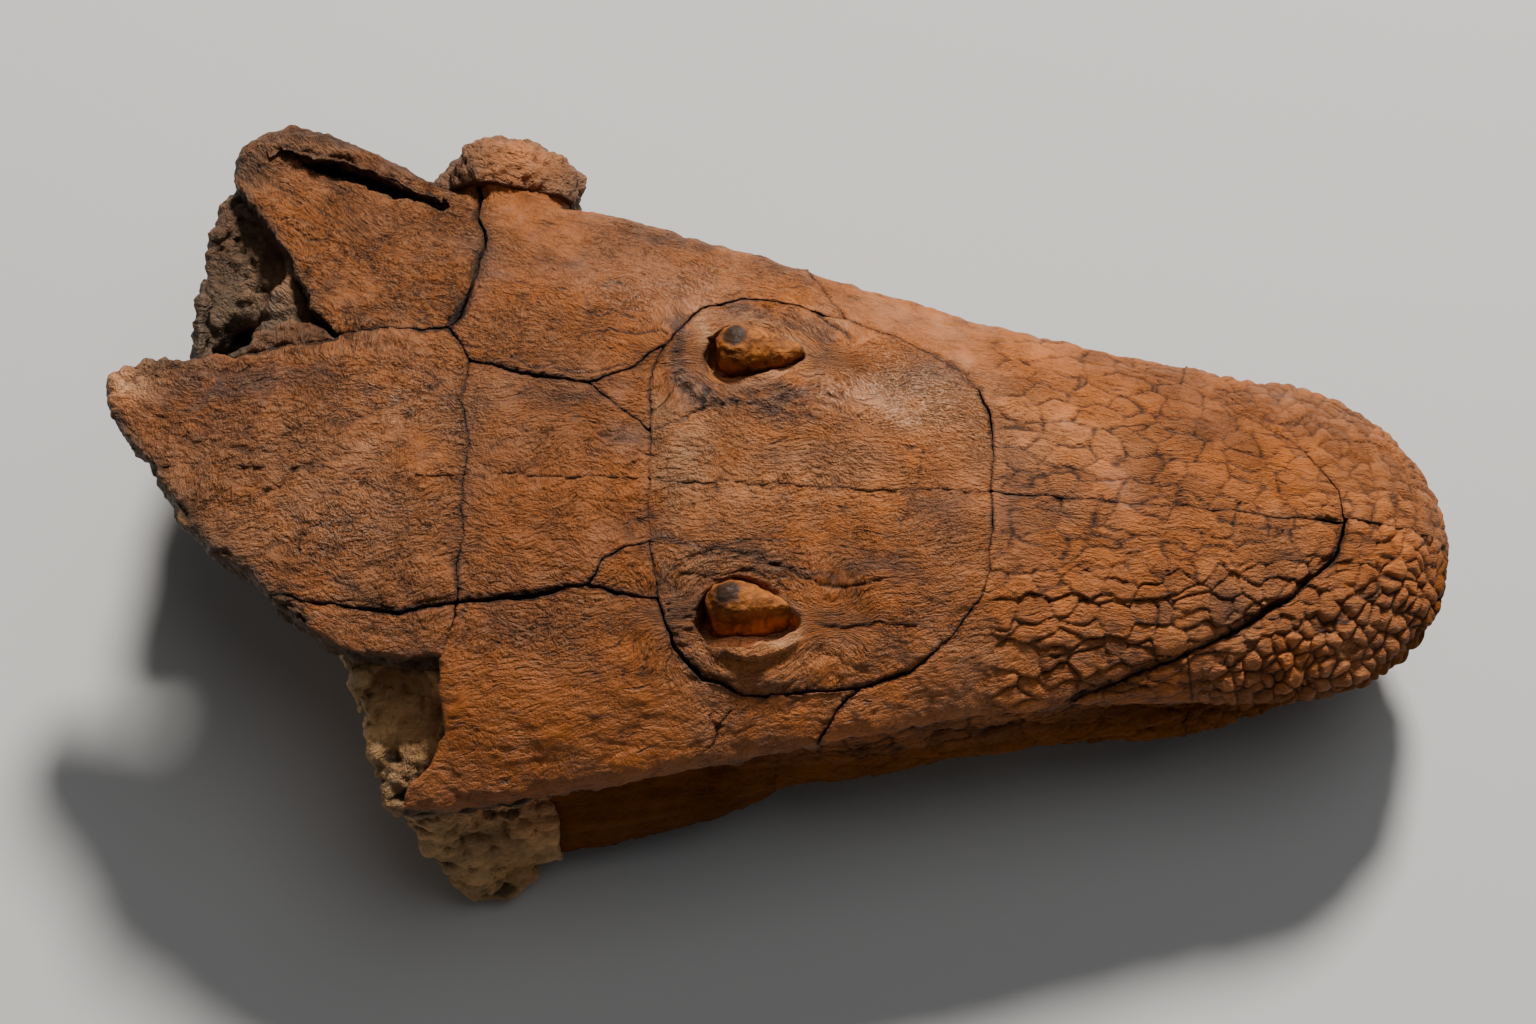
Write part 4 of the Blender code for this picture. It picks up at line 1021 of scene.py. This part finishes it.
class Paint:
    # a material's node tree, with short ways to add to it
    def __init__(self, name):
        self.material = bpy.data.materials.new(name)
        self.material.use_nodes = True
        self.tree = self.material.node_tree
        self.shader = self.tree.nodes["Principled BSDF"]

    def add(self, kind, inputs=(), **settings):
        node = self.tree.nodes.new(kind)
        for key, value in settings.items():
            setattr(node, key, value)
        for key, value in dict(inputs).items():
            self.put(node.inputs[key], value)
        return node

    def put(self, socket, value):
        if isinstance(value, bpy.types.NodeSocket):
            self.tree.links.new(value, socket)
        elif hasattr(value, "__len__") and len(value) == 3 and socket.type == "RGBA":
            socket.default_value = (*value, 1)
        else:
            socket.default_value = value

    def attribute(self, name):
        return self.add("ShaderNodeAttribute", attribute_name=name, attribute_type="GEOMETRY").outputs

    def values(self, names):
        return [self.attribute(name)["Fac"] for name in names.split()]

    def math(self, what, a, b, clamp=False):
        return self.add("ShaderNodeMath", {0: a, 1: b}, operation=what, use_clamp=clamp).outputs[0]

    def times(self, a, b):
        return self.math("MULTIPLY", a, b)

    def vectorMath(self, what, inputs):
        return self.add("ShaderNodeVectorMath", inputs, operation=what).outputs[0]

    def mix(self, share, a, b, blend="MIX"):
        inputs = {"Factor": share, 6: a, 7: b}
        return self.add("ShaderNodeMix", inputs, data_type="RGBA", blend_type=blend).outputs[2]

    def over(self, colour, value, share, tint):
        # lays a tint over a colour where the value says so
        return self.mix(self.times(value, share), colour, tint)

    def layers(self, colour, look, rows):
        for value, share, tint in rows:
            colour = self.over(colour, value, share, look[tint])
        return colour

    def flecks(self, colour, look, much, rows):
        # tints where a value lies past one end of its span, all of them as strong as much says
        for value, low, high, share, tint in rows:
            colour = self.over(colour, much, self.times(self.span(value, low, high), share), look[tint])
        return colour

    def dimmed(self, colour, value):
        grey = self.add("ShaderNodeCombineColor", {0: value, 1: value, 2: value}).outputs[0]
        return self.mix(1.0, colour, grey, "MULTIPLY")

    def span(self, value, low, high, start=0.0, end=1.0):
        inputs = {"Value": value, "From Min": low, "From Max": high, "To Min": start, "To Max": end}
        return self.add("ShaderNodeMapRange", inputs, clamp=True).outputs[0]

    def mapped(self, where, stretch):
        return self.add("ShaderNodeMapping", {"Vector": where, "Scale": stretch}).outputs[0]

    def noise(self, where, stretch, detail, rough, twist=0.0, more=(), **settings):
        inputs = {"Vector": self.mapped(where, stretch), "Scale": 1.0, "Detail": detail, "Roughness": rough,
                  "Distortion": twist, **dict(more)}
        return self.add("ShaderNodeTexNoise", inputs, **settings).outputs["Fac"]

    def wrinkles(self, where, stretch, detail, rough, twist):
        # about 2 in sharp creases, about 1 beside them and 0.2 on the bulges between
        return self.noise(where, stretch, detail, rough, twist, {"Offset": 1.0, "Gain": 1.0},
                          noise_type="RIDGED_MULTIFRACTAL")

    def cells(self, where, stretch):
        inputs = {"Vector": self.mapped(where, stretch), "Scale": 1.0}
        return self.add("ShaderNodeTexVoronoi", inputs, feature="F1").outputs["Distance"]

    def bend(self, where, amount, scale):
        # pushes places about by a smooth noise, so that straight edges wander
        noise = self.add("ShaderNodeTexNoise", {"Vector": where, "Scale": scale, "Detail": 2.0})
        middle = self.vectorMath("SUBTRACT", {0: noise.outputs["Color"], 1: (0.5, 0.5, 0.5)})
        push = self.vectorMath("SCALE", {0: middle, "Scale": amount * 4})
        return self.vectorMath("ADD", {0: where, 1: push})

    def finished(self, colour, rough, gloss, height, strength):
        # the height is in millimetres
        bump = self.add("ShaderNodeBump", {"Height": height, "Distance": mm, "Strength": strength})
        inputs = {"Base Color": colour, "Roughness": rough, "Specular IOR Level": gloss,
                  "Normal": bump.outputs[0]}
        for word, value in inputs.items():
            self.put(self.shader.inputs[word], value)
        return self.material


def paintBone(look, stony):
    paint = Paint("brokenStone" if stony else "fossilBone")
    place = paint.add("ShaderNodeTexCoord").outputs["Object"]
    grain = paint.attribute("grain")["Vector"]
    leather = paint.wrinkles(grain, (0.36, 1.05, 0.8), 5, 0.64, 0.15)
    flake = paint.cells(paint.bend(grain, 0.35, 0.9), (0.55, 1.3, 1.0))
    flake = paint.times(flake, flake)
    fine = paint.noise(grain, (2.0, 2.3, 2.2), 3, 0.7)
    cloud = paint.noise(place, (55, 55, 55), 4, 0.62)
    blotch = paint.noise(place, (130, 130, 130), 5, 0.7)
    mottle = paint.noise(place, (260, 260, 260), 5, 0.7)
    orange, pale, violet, dark, shine = paint.values("orange pale violet dark shine")
    raw, own, split, seam, hollow = paint.values("raw own split seam hollow")
    lively, mottled, tone, flank, far = paint.values("lively mottled tone flank far")
    # long thin cracks along the grain, in some places only
    crack = paint.span(paint.wrinkles(grain, (0.085, 0.26, 0.2), 4, 0.55, 0.3), 1.5, 1.85)
    crack = paint.times(crack, paint.span(cloud, 0.46, 0.56))
    crack = paint.times(crack, paint.math("SUBTRACT", 1.0, raw, True))
    colour = paint.mix(paint.span(cloud, 0.38, 0.62), look["tan"], look["orange"])
    colour = paint.flecks(colour, look, mottled, [
        (blotch, 0.53, 0.68, 0.65, "brown"), (blotch, 0.45, 0.3, 0.3, "pale"),
        (mottle, 0.54, 0.7, 0.5, "violet")])
    breakUp = paint.span(mottle, 0.28, 0.5)
    colour = paint.layers(colour, look, [
        (orange, 0.85, "orange"), (pale, paint.times(breakUp, 0.85), "pale"), (violet, breakUp, "violet"),
        (dark, 0.85, "brown")])
    # painted shade and painted highlight: the fine texture is painted browner in its creases and paler on its
    # bulges, following its bump
    colour = paint.flecks(colour, look, lively, [
        (leather, 1.25, 1.9, 0.45, "brown"), (leather, 0.75, 0.35, 0.2, "pale"),
        (flake, 0.25, 0.7, 0.35, "brown"), (fine, 0.53, 0.68, 0.75, "brown"), (fine, 0.47, 0.3, 0.5, "pale")])
    colour = paint.dimmed(colour, paint.span(own, -0.5, 0.5, 0.75, 1.2))
    # painted highlight: pale specks of glints where the bone is glossy
    colour = paint.over(colour, paint.times(shine, paint.span(fine, 0.48, 0.36)), 0.9, look["paintedGlint"])
    stone = paint.mix(paint.span(mottle, 0.35, 0.7), look["stone"], look["stonePale"])
    stone = paint.layers(stone, look, [
        (far, 0.9, "stoneGrey"), (orange, 0.9, "tan"), (paint.span(cloud, 0.5, 0.7), 0.7, "stoneDark"),
        (dark, 0.7, "brown"), (pale, 0.7, "stonePale")])
    colour = paint.over(colour, raw, 1.0 if stony else 0.85, stone)
    # painted shade in the hollows of the relief and painted light on its bumps, then the dark splits, cracks
    # and joints
    colour = paint.layers(colour, look, [
        (paint.span(hollow, 0.1, 0.95), 0.6, "dark"), (paint.span(hollow, -0.2, -0.9), 0.25, "pale"),
        (split, 0.9, "dark"), (crack, 0.75, "dark"), (seam, 0.95, "dark")])
    # painted light and shade of each place, then the painted shade of the near flank
    colour = paint.over(paint.dimmed(colour, tone), flank, 0.55, look["flank"])
    rough = paint.span(mottle, 0.3, 0.7, look["roughness"] - 0.12, look["roughness"] + 0.14)
    rough = paint.math("SUBTRACT", rough, paint.times(shine, 0.32))
    gloss = paint.math("SUBTRACT", paint.span(shine, 0.0, 1.0, 0.38, 1.0), paint.times(flank, 0.34))
    gritty = paint.times(fine, paint.span(shine, 0.0, 1.0, -0.95, -1.4))
    height = paint.math("ADD", paint.times(leather, -0.17), gritty)
    height = paint.math("ADD", height, paint.times(flake, -0.32))
    height = paint.math("SUBTRACT", paint.times(height, lively), paint.times(crack, 0.25))
    if stony:
        height = paint.math("ADD", height, paint.times(mottle, 1.3))
    return paint.finished(colour, rough, gloss, height, 1.0)


def paintRust(look):
    paint = Paint("rustyPeg")
    place = paint.add("ShaderNodeTexCoord").outputs["Object"]
    streak = paint.noise(place, (420, 420, 300), 4, 0.6, 0.6)
    mottle = paint.noise(place, (1300, 1300, 1300), 3, 0.65)
    cap, = paint.values("cap")
    colour = paint.mix(paint.span(streak, 0.4, 0.64), look["rust"], look["deep"])
    colour = paint.over(colour, cap, 0.92, look["cap"])
    rough = paint.math("SUBTRACT", paint.span(mottle, 0.3, 0.7, 0.6, 0.85), paint.times(cap, 0.2))
    height = paint.math("ADD", paint.times(mottle, 0.45), paint.times(streak, 0.4))
    height = paint.times(height, paint.span(cap, 0.0, 1.0, 1.0, 0.3))
    return paint.finished(colour, rough, paint.span(cap, 0.0, 1.0, 0.3, 0.18), height, 0.8)


finishes = {"skin": paintBone(boneLook, False), "stone": paintBone(boneLook, True),
            "rust": paintRust(rustLook)}

print("pieces")

# Fineness in mm, rounds of melting, share of the relief, finish, and the depth in mm that counts as hollow,
# where painted shade goes
roofPiece = {"voxel": 0.38, "melt": 90, "relief": 1.0, "kind": "skin", "shade": 0.35}
snoutPiece = dict(roofPiece, voxel=0.34, melt=110, shade=0.8)
jawPiece = dict(roofPiece, voxel=0.42, melt=80, shade=0.7)
cheekPiece = dict(roofPiece, voxel=0.55, melt=50, relief=0.9, shade=0.5)
loosePiece = dict(roofPiece, voxel=0.36, melt=8, raw=0.75, stony=1.3, shade=0.8)
stonePiece = {"voxel": 0.5, "melt": 16, "relief": 1.1, "kind": "stone", "shade": 0.9}
corePiece = dict(stonePiece, voxel=0.9, melt=10, relief=0.9)
pegPiece = {"voxel": 0.22, "melt": 60, "relief": 1.0, "kind": "rust", "shade": 0.3}
looks = {
    "parietal": roofPiece, "frontal": roofPiece, "postfrontal": roofPiece, "prefrontal": roofPiece,
    "postorbital": roofPiece, "squamosal": roofPiece, "supratemporal": roofPiece, "nasal": snoutPiece,
    "premaxilla": snoutPiece, "maxilla": jawPiece, "jugal": cheekPiece, "quadrate": dict(stonePiece, melt=40),
    "otic": stonePiece, "loose": loosePiece, "braincase": corePiece, "palate": corePiece, "peg": pegPiece,
}
total = sum(makePiece(name, looks[name.split("_")[0]]) for name in sorted(nodes))
print(f"{total} triangles in all")
